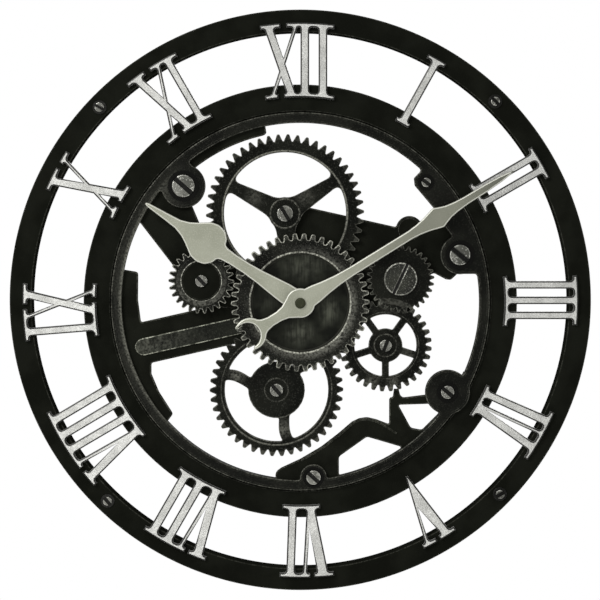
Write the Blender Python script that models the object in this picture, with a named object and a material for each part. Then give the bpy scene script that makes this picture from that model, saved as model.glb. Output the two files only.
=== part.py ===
"""Open skeleton wall clock: black rings, silver numerals, cast gears, two hands and a quartz movement.

Every size is in millimetres and becomes metres where a vertex is made. The dial stands in the XZ plane
and faces -Y. A depth is a distance from the wall, so depth 30 is y = -0.030, and a bearing is in degrees
clockwise from twelve o'clock. The origin is the point of the wall behind the hands' axis.
"""

import math

import bmesh
import bpy
from mathutils import Vector
from mathutils.geometry import delaunay_2d_cdt

for leftover in list(bpy.data.objects):
    bpy.data.objects.remove(leftover, do_unlink=True)

MM = 0.001
FIT = 0.3  # gap between pieces that touch

# Rings, pressed as channels that are open towards the wall
RING_DEPTH = 20.0
RING_WALL = 2.0
RING_EDGE = 1.0
RING_STEPS = 60
DIAL_R = 317.5
DIAL_BAND = 24.2
NUMERAL_SPAN = 80.8  # from the rim of the dial to the rim of the chapter ring
CHAPTER_R = DIAL_R - NUMERAL_SPAN
CHAPTER_BAND = 29.1
CHAPTER_STEP_R = CHAPTER_R - CHAPTER_BAND
LEDGE = 10.6
LEDGE_DEPTH = 16.0
CHAPTER_INNER_R = CHAPTER_STEP_R - LEDGE

# Skeleton plates on the ledge, and the lugged trim ring that clamps them
PLATE = 3.0
PLATE_REAR = LEDGE_DEPTH + FIT
PLATE_FRONT = PLATE_REAR + PLATE
TRIM_GAP = 1.1
TRIM_R = CHAPTER_STEP_R - TRIM_GAP
TRIM_BAND = 11.5
TRIM_INNER_R = TRIM_R - TRIM_BAND
TRIM = 4.4
TRIM_REAR = PLATE_FRONT + FIT
TRIM_FRONT = TRIM_REAR + TRIM

# Numerals, which lie across both rings
NUMERAL = 4.0
NUMERAL_EDGE = 1.2
NUMERAL_OUTER_LAP = 8.5
NUMERAL_INNER_LAP = 12.8
SERIF = 2.7

# Wheelwork: two layers of gears in front of the plates
GEAR = 4.0
REAR_LAYER = PLATE_FRONT + 2.0
FRONT_LAYER = REAR_LAYER + GEAR + FIT
FRONT_GEAR = 4.2
GEAR_BORE_FIT = 0.3
CENTRE_TIP_R = 75.5
LEFT_TIP_R = 35.8
RIGHT_TIP_R = 36.9
LEFT_MESH = 1.24  # how far the tips of two gears reach past each other
RIGHT_MESH = 0.58

# Movement and hands, all on the axis of the dial
CASE = 56.0
CASE_WALL = 1.3
CASE_FRONT = 16.0
COVER = 1.5
BUSH_R = 4.0
BUSH_BORE_R = 2.9
BUSH_FRONT = 30.6
PIPE_R = 2.5
PIPE_BORE_R = 1.9
ARBOR_R = 1.5
NUT_FLATS = 12.5
NUT = 2.6
HOUR_REAR = 33.4
HAND = 2.0
MINUTE_REAR = HOUR_REAR + HAND + 1.7
HAND_HUB_R = 16.0
HOUR_BEARING = 302.8
MINUTE_BEARING = 58.2


def polar(radius, bearing, centre=(0.0, 0.0)):
    angle = math.radians(bearing)
    return (centre[0] + radius * math.sin(angle), centre[1] + radius * math.cos(angle))


def beside(centre, right, up):
    return (centre[0] + right, centre[1] + up)


def arc(radius, start, end, steps, centre=(0.0, 0.0)):
    return [polar(radius, start + (end - start) * i / steps, centre) for i in range(steps + 1)]


def disc(radius, steps, centre=(0.0, 0.0), turn=0.0):
    return [polar(radius, turn + 360.0 * i / steps, centre) for i in range(steps)]


def box(left, bottom, right, top):
    return [(left, bottom), (right, bottom), (right, top), (left, top)]


def strip(start, end, start_width, end_width):
    """A straight bar from start to end, as wide as said at each."""
    along = (Vector(end) - Vector(start)).normalized()
    side = Vector((-along.y, along.x))
    corners = []
    for point, offset in ((start, -start_width), (end, -end_width), (end, end_width), (start, start_width)):
        corners.append(tuple(Vector(point) + side * (offset / 2)))
    return corners


def band(inner, outer, start, end, steps, centre=(0.0, 0.0)):
    """A stretch of ring between two bearings."""
    return arc(inner, start, end, steps, centre) + arc(outer, end, start, steps, centre)


def bearing_of(point, centre=(0.0, 0.0)):
    return math.degrees(math.atan2(point[0] - centre[0], point[1] - centre[1]))


def rounded(points, radius, steps=3):
    """The outline with each corner replaced by an arc, smaller where the sides are short."""
    count = len(points)
    result = []
    for i in range(count):
        here = Vector(points[i])
        back = Vector(points[i - 1]) - here
        ahead = Vector(points[(i + 1) % count]) - here
        half = back.angle(ahead) / 2
        if half > math.radians(78):
            result.append(tuple(here))
            continue
        reach = min(radius / math.tan(half), back.length * 0.45, ahead.length * 0.45)
        start = here + back.normalized() * reach
        end = here + ahead.normalized() * reach
        for k in range(steps + 1):
            t = k / steps
            result.append(tuple(start * (1 - t) ** 2 + here * (2 * t * (1 - t)) + end * t ** 2))
    return result


def area_of(loop):
    return sum(a[0] * b[1] - b[0] * a[1] for a, b in zip(loop, loop[1:] + loop[:1])) / 2


def fill(adds, cuts=()):
    """Points and triangles that cover the outlines in adds and leave out those in cuts."""
    points = []
    faces = []
    for loop in list(adds) + list(cuts):
        turned_left = loop if area_of(loop) > 0 else loop[::-1]
        faces.append(list(range(len(points), len(points) + len(loop))))
        points.extend(Vector(p[:2]) for p in turned_left)
    found, _, triangles, sources, _, owners = delaunay_2d_cdt(points, [], faces, 1, 1e-4)
    kept = [t for t, owner in zip(triangles, owners) if owner and max(owner) < len(adds)]
    return found, kept, sources


def outlines(points, triangles):
    """The border of the triangles as closed loops, with the material on the left."""
    edges = {(t[i], t[(i + 1) % 3]) for t in triangles for i in range(3)}
    following = {a: b for a, b in edges if (b, a) not in edges}
    loops = []
    while following:
        start, here = following.popitem()
        loop = [start]
        while here != start:
            loop.append(here)
            here = following.pop(here)
        loops.append(without_straights([points[i] for i in loop]))
    return loops


def without_straights(loop):
    """Leaves out the points that lie on the line between their neighbours."""
    kept = list(loop)
    i = 0
    while i < len(kept) and len(kept) > 3:
        before, here, after = kept[i - 1], kept[i], kept[(i + 1) % len(kept)]
        run = after - before
        off = abs((here - before).cross(run)) / max(run.length, 1e-9)
        if off < 0.004 or (here - before).length < 0.01:
            kept.pop(i)
            i = max(i - 1, 0)
        else:
            i += 1
    return kept


def inset(loop, distance):
    moved = []
    for before, here, after in zip(loop[-1:] + loop[:-1], loop, loop[1:] + loop[:1]):
        first = (here - before).normalized()
        second = (after - here).normalized()
        sides = Vector((-first.y - second.y, first.x + second.x))
        moved.append(here + sides * (distance / max(1 + first.dot(second), 0.5)))
    return moved


def cap(bm, rings):
    """Closes one end of a plate, whose loops are outlines and holes."""
    loops = [[Vector((v.co.x, v.co.z)) / MM for v in ring] for ring in rings]
    corners = [v for ring in rings for v in ring]
    adds = [i for i, loop in enumerate(loops) if area_of(loop) > 0]
    order = adds + [i for i in range(len(loops)) if i not in adds]
    corners = []
    for i in order:
        corners.extend(rings[i] if i in adds else rings[i][::-1])
    _, triangles, sources = fill([loops[i] for i in adds], [loops[i] for i in order[len(adds):]])
    for t in triangles:
        bm.faces.new([corners[sources[i][0]] for i in t])


def finish(name, material, bm, centre=(0.0, 0.0)):
    bmesh.ops.recalc_face_normals(bm, faces=bm.faces)
    mesh = bpy.data.meshes.new(name)
    bm.to_mesh(mesh)
    bm.free()
    mesh.shade_smooth()
    mesh.set_sharp_from_angle(angle=math.radians(32))
    piece = bpy.data.objects.new(name, mesh)
    piece.location = (centre[0] * MM, 0.0, centre[1] * MM)
    bpy.context.scene.collection.objects.link(piece)
    if material:
        mesh.materials.append(material)
    return piece


def plate(name, material, adds, cuts, rear, front, edge=0.0, centre=(0.0, 0.0)):
    """A flat piece between two depths, with its front corners bevelled by edge."""
    shift = Vector(centre)
    points, triangles, _ = fill(adds, cuts)
    loops = outlines(points, triangles)
    levels = [(rear, 0.0), (front - edge, 0.0), (front, edge)] if edge else [(rear, 0.0), (front, 0.0)]
    bm = bmesh.new()
    rings = []
    for depth, inwards in levels:
        level = []
        for loop in loops:
            moved = inset(loop, inwards) if inwards else loop
            places = [p - shift for p in moved]
            level.append([bm.verts.new((p.x * MM, -depth * MM, p.y * MM)) for p in places])
        rings.append(level)
    for lower, upper in zip(rings, rings[1:]):
        for low, high in zip(lower, upper):
            for i in range(len(low)):
                bm.faces.new((low[i - 1], low[i], high[i], high[i - 1]))
    cap(bm, rings[0])
    cap(bm, rings[-1])
    return finish(name, material, bm, centre)


def turned(name, material, profile, steps, centre=(0.0, 0.0)):
    """A turned piece. The profile is (radius, depth) points, closed unless it starts and ends on the axis."""
    bm = bmesh.new()
    ring = [bm.verts.new((radius * MM, -depth * MM, 0.0)) for radius, depth in profile]
    pairs = list(zip(ring, ring[1:]))
    if profile[0][0] > 0:
        pairs.append((ring[-1], ring[0]))
    edges = [bm.edges.new(pair) for pair in pairs]
    bmesh.ops.spin(
        bm, geom=ring + edges, cent=(0, 0, 0), axis=(0, 1, 0), angle=2 * math.pi, steps=steps, use_merge=True
    )
    bmesh.ops.remove_doubles(bm, verts=bm.verts, dist=1e-6)
    return finish(name, material, bm, centre)


def combine(piece, others, operation):
    """Joins or cuts with helper solids, which stay in the file but aren't pieces."""
    for other in others:
        step = piece.modifiers.new(other.name, "BOOLEAN")
        step.operation = operation
        step.solver = "EXACT"
        step.object = other
        other.hide_render = True
        other.display_type = "WIRE"


def paint(name, colour, roughness, metallic):
    material = bpy.data.materials.new(name)
    material.use_nodes = True
    shader = material.node_tree.nodes["Principled BSDF"]
    shader.inputs["Base Color"].default_value = (*colour, 1.0)
    shader.inputs["Roughness"].default_value = roughness
    shader.inputs["Metallic"].default_value = metallic
    return material


black = paint("black_enamel", (0.018, 0.018, 0.014), 0.38, 0.3)
pewter = paint("dark_pewter", (0.07, 0.07, 0.055), 0.42, 0.8)
silver = paint("hammered_silver", (0.60, 0.60, 0.58), 0.35, 0.8)
steel = paint("bright_steel", (0.42, 0.42, 0.40), 0.3, 1.0)
champagne = paint("warm_grey_metal", (0.42, 0.42, 0.36), 0.4, 0.7)
brass = paint("brass", (0.60, 0.43, 0.16), 0.35, 1.0)
plastic = paint("black_plastic", (0.02, 0.02, 0.022), 0.5, 0.0)
white_plastic = paint("white_plastic", (0.75, 0.75, 0.72), 0.45, 0.0)
board_green = paint("board_green", (0.03, 0.16, 0.06), 0.5, 0.0)
copper = paint("copper_wire", (0.50, 0.20, 0.09), 0.4, 0.9)
magnet = paint("magnet_grey", (0.12, 0.12, 0.13), 0.4, 0.8)
cell_wrap = paint("battery_wrap", (0.10, 0.11, 0.12), 0.35, 0.1)


# Outer ring and chapter ring
turned(
    "outer_ring",
    black,
    [
        (DIAL_R - DIAL_BAND, 0),
        (DIAL_R - DIAL_BAND, RING_DEPTH - RING_EDGE),
        (DIAL_R - DIAL_BAND + RING_EDGE, RING_DEPTH),
        (DIAL_R - RING_EDGE, RING_DEPTH),
        (DIAL_R, RING_DEPTH - RING_EDGE),
        (DIAL_R, 0),
        (DIAL_R - RING_WALL, 0),
        (DIAL_R - RING_WALL, RING_DEPTH - RING_WALL),
        (DIAL_R - DIAL_BAND + RING_WALL, RING_DEPTH - RING_WALL),
        (DIAL_R - DIAL_BAND + RING_WALL, 0),
    ],
    RING_STEPS,
)
outer_ring = bpy.data.objects["outer_ring"]
turned(
    "chapter_ring",
    black,
    [
        (CHAPTER_INNER_R, 0),
        (CHAPTER_INNER_R, LEDGE_DEPTH),
        (CHAPTER_STEP_R, LEDGE_DEPTH),
        (CHAPTER_STEP_R, RING_DEPTH),
        (CHAPTER_R - RING_EDGE, RING_DEPTH),
        (CHAPTER_R, RING_DEPTH - RING_EDGE),
        (CHAPTER_R, 0),
        (CHAPTER_R - RING_WALL, 0),
        (CHAPTER_R - RING_WALL, RING_DEPTH - RING_WALL),
        (CHAPTER_STEP_R + RING_WALL, RING_DEPTH - RING_WALL),
        (CHAPTER_STEP_R + RING_WALL, LEDGE_DEPTH - RING_WALL),
        (CHAPTER_INNER_R + RING_WALL, LEDGE_DEPTH - RING_WALL),
        (CHAPTER_INNER_R + RING_WALL, 0),
    ],
    RING_STEPS,
)

# Numerals: strokes as (place at top, place at bottom, width at top, width at bottom), and serifs as spans
NUMERALS = {
    1: ([(-2.7, -1.6, 7.6, 7.6)], [(-13.1, 6.5)], [(-8.7, 5.5)]),
    2: ([(-10.4, -10.4, 7.6, 7.6), (6.0, 6.0, 7.6, 7.6)], [(-19.6, 16.4)], [(-17.4, 15.3)]),
    3: (
        [(-19.1, -19.1, 7.1, 7.1), (-2.2, -2.2, 7.1, 7.1), (14.2, 14.2, 7.1, 7.1)],
        [(-28.3, 24.0)],
        [(-27.3, 25.1)],
    ),
    4: (
        [(-22.3, -14.7, 9.8, 7.6), (-7.5, 0.6, 3.3, 3.3), (10.9, 3.3, 9.8, 8.7)],
        [(-32.7, 24.0)],
        [(-22.9, 13.1)],
    ),
    5: ([(-11.4, -6.2, 9.8, 3.4), (12.0, -4.6, 3.2, 2.6)], [(-21.8, -4.4), (2.2, 16.4)], []),
    6: (
        [(-25.1, -10.9, 10.9, 8.7), (-4.9, -9.3, 3.2, 3.2), (10.9, 8.2, 8.2, 8.2)],
        [(-36.0, -16.4), (-9.8, 21.8)],
        [(-20.7, 18.5)],
    ),
    7: (
        [(-41.5, -22.9, 9.8, 8.2), (-20.2, -21.5, 3.2, 3.2), (-4.4, -4.4, 8.7, 8.7), (14.2, 14.2, 8.7, 8.7)],
        [(-50.2, -31.7), (-25.1, 22.9)],
        [(-32.7, 22.9)],
    ),
    8: (
        [
            (-51.3, -31.7, 8.7, 8.7),
            (-31.1, -31.6, 3.2, 3.2),
            (-14.2, -13.6, 8.2, 8.2),
            (3.8, 4.9, 8.2, 8.2),
            (22.4, 23.5, 8.2, 8.2),
        ],
        [(-60.0, -43.7), (-36.0, 32.7)],
        [(-40.4, 34.9)],
    ),
    9: (
        [(-32.7, -26.7, 7.6, 7.6), (-16.9, 13.1, 2.9, 2.9), (9.3, -8.7, 7.6, 7.6)],
        [(-41.5, -8.7), (-1.1, 19.6)],
        [(-36.0, -1.1), (6.5, 19.6)],
    ),
    10: (
        [(-20.7, 5.5, 7.6, 8.7), (6.5, -16.4, 2.9, 2.9)],
        [(-30.5, -6.5), (2.2, 14.2)],
        [(-22.9, -10.9), (-2.2, 15.3)],
    ),
    11: (
        [(-32.7, -8.7, 8.2, 7.6), (-4.4, -29.5, 2.9, 2.9), (6.5, 6.5, 7.6, 7.6)],
        [(-43.7, -22.9), (-14.2, 17.4)],
        [(-37.1, -25.1), (-16.4, 17.4)],
    ),
    12: (
        [(-34.9, -9.1, 8.2, 8.2), (-4.4, -29.8, 2.9, 2.9), (4.9, 4.9, 8.2, 8.2), (24.5, 24.5, 8.2, 8.2)],
        [(-42.6, -22.9), (-14.2, 36.0)],
        [(-37.1, -25.1), (-16.4, 36.0)],
    ),
}
NUMERAL_R = DIAL_R - DIAL_BAND + NUMERAL_OUTER_LAP
NUMERAL_FOOT_R = CHAPTER_R - NUMERAL_INNER_LAP
NUMERAL_REAR = RING_DEPTH + FIT


def stroke(top, foot, top_width, foot_width, foot_serif):
    """A stroke of a numeral at twelve o'clock, which ends half way into its serifs."""
    high = math.sqrt((NUMERAL_R - SERIF / 2) ** 2 - top ** 2)
    low = math.sqrt((NUMERAL_FOOT_R + foot_serif / 2) ** 2 - foot ** 2)
    return strip((foot, low), (top, high), foot_width + 2 * NUMERAL_EDGE, top_width + 2 * NUMERAL_EDGE)


def serif(span, outer):
    start, end = (math.degrees(math.asin(u / outer)) for u in span)
    grow = math.degrees(NUMERAL_EDGE / outer)
    return band(outer - SERIF - NUMERAL_EDGE, outer + NUMERAL_EDGE, start - grow, end + grow, 4)


def turned_by(outline, bearing):
    angle = math.radians(bearing)
    cos, sin = math.cos(angle), math.sin(angle)
    return [(x * cos + z * sin, z * cos - x * sin) for x, z in outline]


for hour, (strokes, tops, feet) in NUMERALS.items():
    shapes = [stroke(*s, SERIF if feet else 0.0) for s in strokes]
    shapes += [serif(span, NUMERAL_R) for span in tops]
    shapes += [serif(span, NUMERAL_FOOT_R + SERIF) for span in feet]
    shapes = [turned_by(shape, 30.0 * hour) for shape in shapes]
    plate(
        f"numeral_{hour:02d}", silver, shapes, [], NUMERAL_REAR, NUMERAL_REAR + NUMERAL, NUMERAL_EDGE
    )

# Screws: a slotted head, a shank and, where it shows, a washer ring
SLOT_SHARE = 0.30


def screw(name, centre, top, head_r, head, shank_r, tip, slot_bearing, steps=14, material=steel):
    bevel = min(1.0, head_r * 0.16)
    piece = turned(
        name,
        material,
        [
            (0, top),
            (head_r - bevel, top),
            (head_r, top - bevel),
            (head_r, top - head),
            (shank_r, top - head),
            (shank_r, tip),
            (0, tip),
        ],
        steps,
        centre,
    )
    half = head_r * SLOT_SHARE / 2
    reach = head_r * 1.3
    slot = [(-half, -reach), (half, -reach), (half, reach), (-half, reach)]
    slot = [(x + centre[0], z + centre[1]) for x, z in turned_by(slot, slot_bearing)]
    cutter = plate(name + "_slot", None, [slot], [], top - head * 0.5, top + 3, 0, centre)
    combine(piece, [cutter], "DIFFERENCE")
    return piece


# Four cap screws with washers in the outer ring
RING_SCREW_INSET = 13.5
RING_SCREW_R = DIAL_R - RING_SCREW_INSET
RING_SCREW_TIP = 10.0
RING_SCREW_HEAD_R = 4.4
RING_SCREW_HEAD = 2.6
RING_SCREW_SHANK_R = 2.4
RING_WASHER_R = 7.6
RING_WASHER = 1.0
for place, bearing, slot in (
    ("upper_left", 314.2, 120),
    ("upper_right", 44.1, 135),
    ("lower_right", 133.9, 60),
    ("lower_left", 224.1, 140),
):
    spot = polar(RING_SCREW_R, bearing)
    hole = turned(
        "ring_hole_" + place,
        None,
        [(0, RING_DEPTH + 3), (RING_SCREW_SHANK_R + FIT, RING_DEPTH + 3)]
        + [(RING_SCREW_SHANK_R + FIT, RING_SCREW_TIP - 2), (0, RING_SCREW_TIP - 2)],
        12,
        spot,
    )
    combine(outer_ring, [hole], "DIFFERENCE")
    seat = RING_DEPTH + FIT
    piece = turned(
        "ring_screw_" + place,
        steel,
        [
            (0, seat + RING_WASHER + RING_SCREW_HEAD),
            (RING_SCREW_HEAD_R - 0.7, seat + RING_WASHER + RING_SCREW_HEAD),
            (RING_SCREW_HEAD_R, seat + RING_WASHER + RING_SCREW_HEAD - 0.7),
            (RING_SCREW_HEAD_R, seat + RING_WASHER),
            (RING_WASHER_R, seat + RING_WASHER),
            (RING_WASHER_R, seat),
            (RING_SCREW_SHANK_R, seat),
            (RING_SCREW_SHANK_R, RING_SCREW_TIP),
            (0, RING_SCREW_TIP),
        ],
        14,
        spot,
    )
    half = RING_SCREW_HEAD_R * SLOT_SHARE / 2
    cut = [(-half, -RING_WASHER_R), (half, -RING_WASHER_R), (half, RING_WASHER_R), (-half, RING_WASHER_R)]
    cut = [(x + spot[0], z + spot[1]) for x, z in turned_by(cut, slot)]
    top = seat + RING_WASHER + RING_SCREW_HEAD
    cutter = plate("ring_slot_" + place, None, [cut], [], top - RING_SCREW_HEAD * 0.6, top + 2, 0, spot)
    combine(piece, [cutter], "DIFFERENCE")

# Places of the gears and of the lugs on the trim ring
UPPER = (-16.6, 96.8)
LEFT = polar(CENTRE_TIP_R + LEFT_TIP_R - LEFT_MESH, 282.38)
RIGHT = polar(CENTRE_TIP_R + RIGHT_TIP_R - RIGHT_MESH, 76.66)
LOWER_RIGHT = (92.9, -46.9)
LOWER = (-26.0, -95.6)
LUGS = {
    "upper_left": {"inset": 15.6, "bearing": 314.9, "radius": 24.0, "head_r": 12.4, "slot": 132},
    "upper_right": {"inset": 6.0, "bearing": 46.3, "radius": 12.0, "head_r": 5.1, "slot": 125},
    "right": {"inset": 13.7, "bearing": 73.4, "radius": 21.2, "head_r": 11.3, "slot": 130},
    "lower_right": {"inset": 6.5, "bearing": 121.4, "radius": 24.5, "head_r": 7.3, "slot": 130},
    "bottom": {"inset": 2.5, "bearing": 175.7, "radius": 14.6, "head_r": 8.0, "slot": 132},
}
LUG_SCREW_SHANK_R = 2.5


def inboard(inset, bearing):
    """The point that lies inset from the trim ring's inner edge."""
    return polar(TRIM_INNER_R - inset, bearing)


for lug in LUGS.values():
    lug["centre"] = inboard(lug["inset"], lug["bearing"])

# Trim ring with its lugs: ears that reach inwards over the plates
RIM_STEPS = 60
mid_trim = (TRIM_R + TRIM_INNER_R) / 2
up_left = LUGS["upper_left"]["centre"]
right_lug = LUGS["right"]["centre"]
tab_inner = TRIM_INNER_R - 17.2
ears = [disc(lug["radius"], 28, lug["centre"]) for side, lug in LUGS.items() if side != "upper_right"]
ears.append(
    [polar(mid_trim, 320.5), polar(TRIM_INNER_R, 321.6), polar(TRIM_INNER_R - 12, 321.9), up_left]
    + [polar(TRIM_INNER_R - 15, 308.0), polar(TRIM_INNER_R, 308.8), polar(mid_trim, 310.0)]
)
ears.append(
    [
        polar(mid_trim, 42.0),
        polar(TRIM_INNER_R, 42.5),
        polar(TRIM_INNER_R - 12, 42.4),
        polar(tab_inner, 44.4),
        polar(tab_inner, 55.0),
        polar(tab_inner, 62.4),
        polar(TRIM_INNER_R - 14.6, 66.7),
        right_lug,
        beside(right_lug, -2.7, -20.8),
        (polar(mid_trim, 80.8)[0], right_lug[1] - 20.8),
        polar(mid_trim, 70.0),
        polar(mid_trim, 56.0),
    ]
)
opening_points, opening_triangles, _ = fill([disc(TRIM_INNER_R, RIM_STEPS)], ears)
opening = [tuple(p) for p in max(outlines(opening_points, opening_triangles), key=area_of)]
trim_ring = plate(
    "trim_ring",
    pewter,
    [disc(TRIM_R, RIM_STEPS)],
    [opening] + [disc(LUG_SCREW_SHANK_R + FIT, 10, lug["centre"]) for lug in LUGS.values()],
    TRIM_REAR,
    TRIM_FRONT,
)
COUNTERBORE = 1.6
for side, lug in LUGS.items():
    recess = turned(
        "recess_" + side,
        None,
        [
            (0, TRIM_FRONT + 2),
            (lug["head_r"] + 0.9, TRIM_FRONT + 2),
            (lug["head_r"] + 0.9, TRIM_FRONT - COUNTERBORE),
            (0, TRIM_FRONT - COUNTERBORE),
        ],
        20,
        lug["centre"],
    )
    combine(trim_ring, [recess], "DIFFERENCE")
    screw(
        side + "_lug_screw",
        lug["centre"],
        TRIM_FRONT + 1.6,
        lug["head_r"],
        1.6 + COUNTERBORE - FIT,
        LUG_SCREW_SHANK_R,
        PLATE_REAR - 1.5,
        lug["slot"],
        22 if lug["head_r"] > 9 else 16,
    )

# Plates that carry the gears, each with a hole for every screw that it holds
BRIDGE_R = CHAPTER_STEP_R - 2 * FIT
GEAR_SCREW_SHANK_R = 3.0


def holes(*centres, radius=GEAR_SCREW_SHANK_R):
    return [disc(radius + FIT, 10, centre) for centre in centres]


def lug_holes(*sides):
    return holes(*[LUGS[side]["centre"] for side in sides], radius=LUG_SCREW_SHANK_R)


HUB_PAD_R = 15.0
upper_left_bridge = plate(
    "upper_left_bridge",
    black,
    [
        band(TRIM_INNER_R - 9.2, BRIDGE_R, 316.0, 348.6, 10),
        band(TRIM_INNER_R - 0.8, BRIDGE_R, 296.4, 318.0, 8),
        disc(LUGS["upper_left"]["radius"] - 3, 20, up_left),
        [polar(TRIM_INNER_R, 296.4), beside(LEFT, -30.2, 14.9), LEFT, beside(LEFT, 9.1, 35.6), up_left]
        + [polar(TRIM_INNER_R, 312.0)],
        disc(24.0, 20, LEFT),
    ],
    lug_holes("upper_left") + holes(LEFT),
    PLATE_REAR,
    PLATE_FRONT,
)
BOSS = (119.0, 79.4)
BOSS_R = 14.7
right_bridge = plate(
    "right_bridge",
    black,
    [
        band(TRIM_INNER_R - 14.0, BRIDGE_R, 44.0, 78.6, 10),
        disc(HUB_PAD_R, 18, UPPER),
        [
            beside(UPPER, 4.0, 11.5),
            (104.3, 82.1),
            BOSS,
            polar(TRIM_INNER_R - 12, 52.0),
            polar(TRIM_INNER_R - 12, 66.0),
            beside(right_lug, 4.0, -18.0),
            inboard(20.7, 79.8),
            inboard(28.8, 81.6),
            inboard(34.1, 81.1),
            inboard(45.8, 77.7),
            beside(RIGHT, 24.0, -6.0),
            beside(RIGHT, -12.0, -14.0),
            (38.0, 30.0),
            (2.0, 46.0),
            beside(UPPER, 6.0, -14.0),
        ],
        disc(BOSS_R, 20, BOSS),
        disc(26.0, 20, RIGHT),
    ],
    lug_holes("upper_right", "right") + holes(UPPER, RIGHT),
    PLATE_REAR,
    PLATE_FRONT,
)

ARM_WIDTH = 46.0
ARM_BEARING = 257.2
CENTRE_PAD_R = 66.0
SPOKE_SUPPORT = 6.4
main_bridge = plate(
    "main_bridge",
    black,
    [
        rounded(
            arc(BRIDGE_R, 227.4, 280.4, 12)
            + [inboard(15.0, 280.6), inboard(17.6, 270.8), inboard(19.4, 262.1), inboard(24.5, 252.9)]
            + [inboard(14.0, 244.3), inboard(11.7, 237.5), inboard(9.4, 228.7)],
            2.6,
            2,
        ),
        strip(polar(BRIDGE_R - 9, ARM_BEARING, (0.0, -6.0)), (0.0, -6.0), ARM_WIDTH, ARM_WIDTH),
        disc(CENTRE_PAD_R, 40),
        strip(LOWER_RIGHT, polar(52.0, 324.0, LOWER_RIGHT), SPOKE_SUPPORT, SPOKE_SUPPORT),
        disc(HUB_PAD_R, 18, LOWER_RIGHT),
        strip(LOWER, polar(50.0, bearing_of((0.0, 0.0), LOWER), LOWER), 14.0, 14.0),
        disc(24.0, 20, LOWER),
    ],
    holes(LOWER_RIGHT, LOWER)
    + [disc(BUSH_R + FIT, 16)]
    + [
        [
            beside(UPPER, 8.0, -90.0),
            (120.0, 10.0),
            (120.0, 90.0),
            (-60.0, 90.0),
            beside(UPPER, -12.0, -60.0),
        ]
    ],
    PLATE_REAR,
    PLATE_FRONT,
)
lower_bridge = plate(
    "lower_bridge",
    black,
    [
        band(TRIM_INNER_R - 0.8, BRIDGE_R, 113.0, 188.0, 26),
        [
            polar(TRIM_INNER_R, 188.0),
            inboard(6.5, 188.3),
            inboard(11.7, 186.6),
            inboard(22.6, 180.1),
            inboard(34.6, 171.9),
            inboard(44.8, 164.0),
            inboard(52.1, 156.7),
            inboard(52.2, 153.2),
            inboard(49.3, 149.9),
            inboard(41.7, 147.0),
            inboard(29.3, 144.0),
            inboard(50.6, 137.6),
            inboard(51.3, 136.7),
            inboard(49.3, 135.9),
            inboard(55.2, 132.8),
            inboard(51.3, 131.4),
            inboard(45.4, 133.0),
            inboard(41.5, 132.9),
            beside(LUGS["lower_right"]["centre"], -18.0, -2.6),
            beside(LUGS["lower_right"]["centre"], 0.0, 12.0),
            polar(TRIM_INNER_R, 114.5),
            polar(TRIM_INNER_R, 128.0),
            polar(TRIM_INNER_R, 145.0),
            polar(TRIM_INNER_R, 167.0),
        ],
    ],
    lug_holes("lower_right", "bottom")
    + [
        [inboard(19.9, 166.0), inboard(30.0, 153.7), inboard(1.5, 145.2), inboard(0.0, 145.8)]
        + [inboard(0.0, 152.0), inboard(0.0, 160.0), inboard(0.0, 167.4)],
        [inboard(39.3, 136.4), inboard(14.4, 128.2), inboard(0.5, 128.7), inboard(1.5, 136.4)]
        + [inboard(11.3, 138.7)],
    ],
    PLATE_REAR,
    PLATE_FRONT,
)

# Pewter bar let on to the left arm, with one round end
BAR_WIDTH = 18.8
BAR_END = inboard(17.0, 254.1)
BAR_FOOT = (-40.0, -19.6)
plate(
    "inlay_bar",
    pewter,
    [strip(BAR_END, BAR_FOOT, BAR_WIDTH, BAR_WIDTH), disc(BAR_WIDTH / 2, 20, BAR_END)],
    [],
    PLATE_FRONT + FIT,
    PLATE_FRONT + FIT + 1.4,
    0.5,
)


# Gears: a toothed plate with windows, and a hub that stands on the plate behind it
def toothed(centre, tip_r, root_r, teeth, first, tip_share, root_share):
    """Teeth as wide as the shares of the pitch at tip and root, and pointed where the tip share is 0."""
    points = []
    pitch = 360.0 / teeth
    tips = (-0.5, 0.5) if tip_share else (0.0,)
    for i in range(teeth):
        here = first + i * pitch
        points.append(polar(root_r, here - root_share * pitch / 2, centre))
        points.extend(polar(tip_r, here + side * tip_share * pitch, centre) for side in tips)
        points.append(polar(root_r, here + root_share * pitch / 2, centre))
    return points


def half_angle(width, radius):
    return math.degrees(math.asin(width / 2 / radius))


def windows(centre, hub_r, rim_r, spokes, hub_width, rim_width, bend=lambda t: 0.0, fillet=2.0):
    """The openings between neighbouring spokes, whose bend is in degrees from hub (0) to rim (1)."""
    result = []
    steps = 6 if bend(0.5) else 1
    for first, second in zip(spokes, spokes[1:] + [spokes[0] + 360.0]):
        rising = []
        falling = []
        for k in range(steps + 1):
            t = k / steps
            radius = hub_r + (rim_r - hub_r) * t
            half = half_angle(hub_width + (rim_width - hub_width) * t, radius)
            rising.append((radius, first + bend(t) + half))
            falling.append((radius, second + bend(t) - half))
        rim = arc(rim_r, rising[-1][1], falling[-1][1], 7, centre)[1:-1]
        hub = arc(hub_r, falling[0][1], rising[0][1], 3, centre)[1:-1]
        loop = [polar(*p, centre) for p in rising] + rim + [polar(*p, centre) for p in falling[::-1]] + hub
        result.append(rounded(loop, fillet, 2))
    return result


def gear(name, material, centre, outline, openings, layer, thickness, hub_r, hub_front, bore, boss_r):
    piece = plate(
        name, material, [outline], openings + [disc(bore, 16, centre)], layer, layer + thickness, 0, centre
    )
    hub = turned(
        name + "_hub",
        None,
        [
            (bore, PLATE_FRONT + FIT),
            (boss_r, PLATE_FRONT + FIT),
            (boss_r, layer + thickness / 3),
            (hub_r, layer + thickness / 3),
            (hub_r, hub_front),
            (bore, hub_front),
        ],
        16 if hub_r < 12 else 20,
        centre,
    )
    combine(piece, [hub], "UNION")
    return piece


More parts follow.
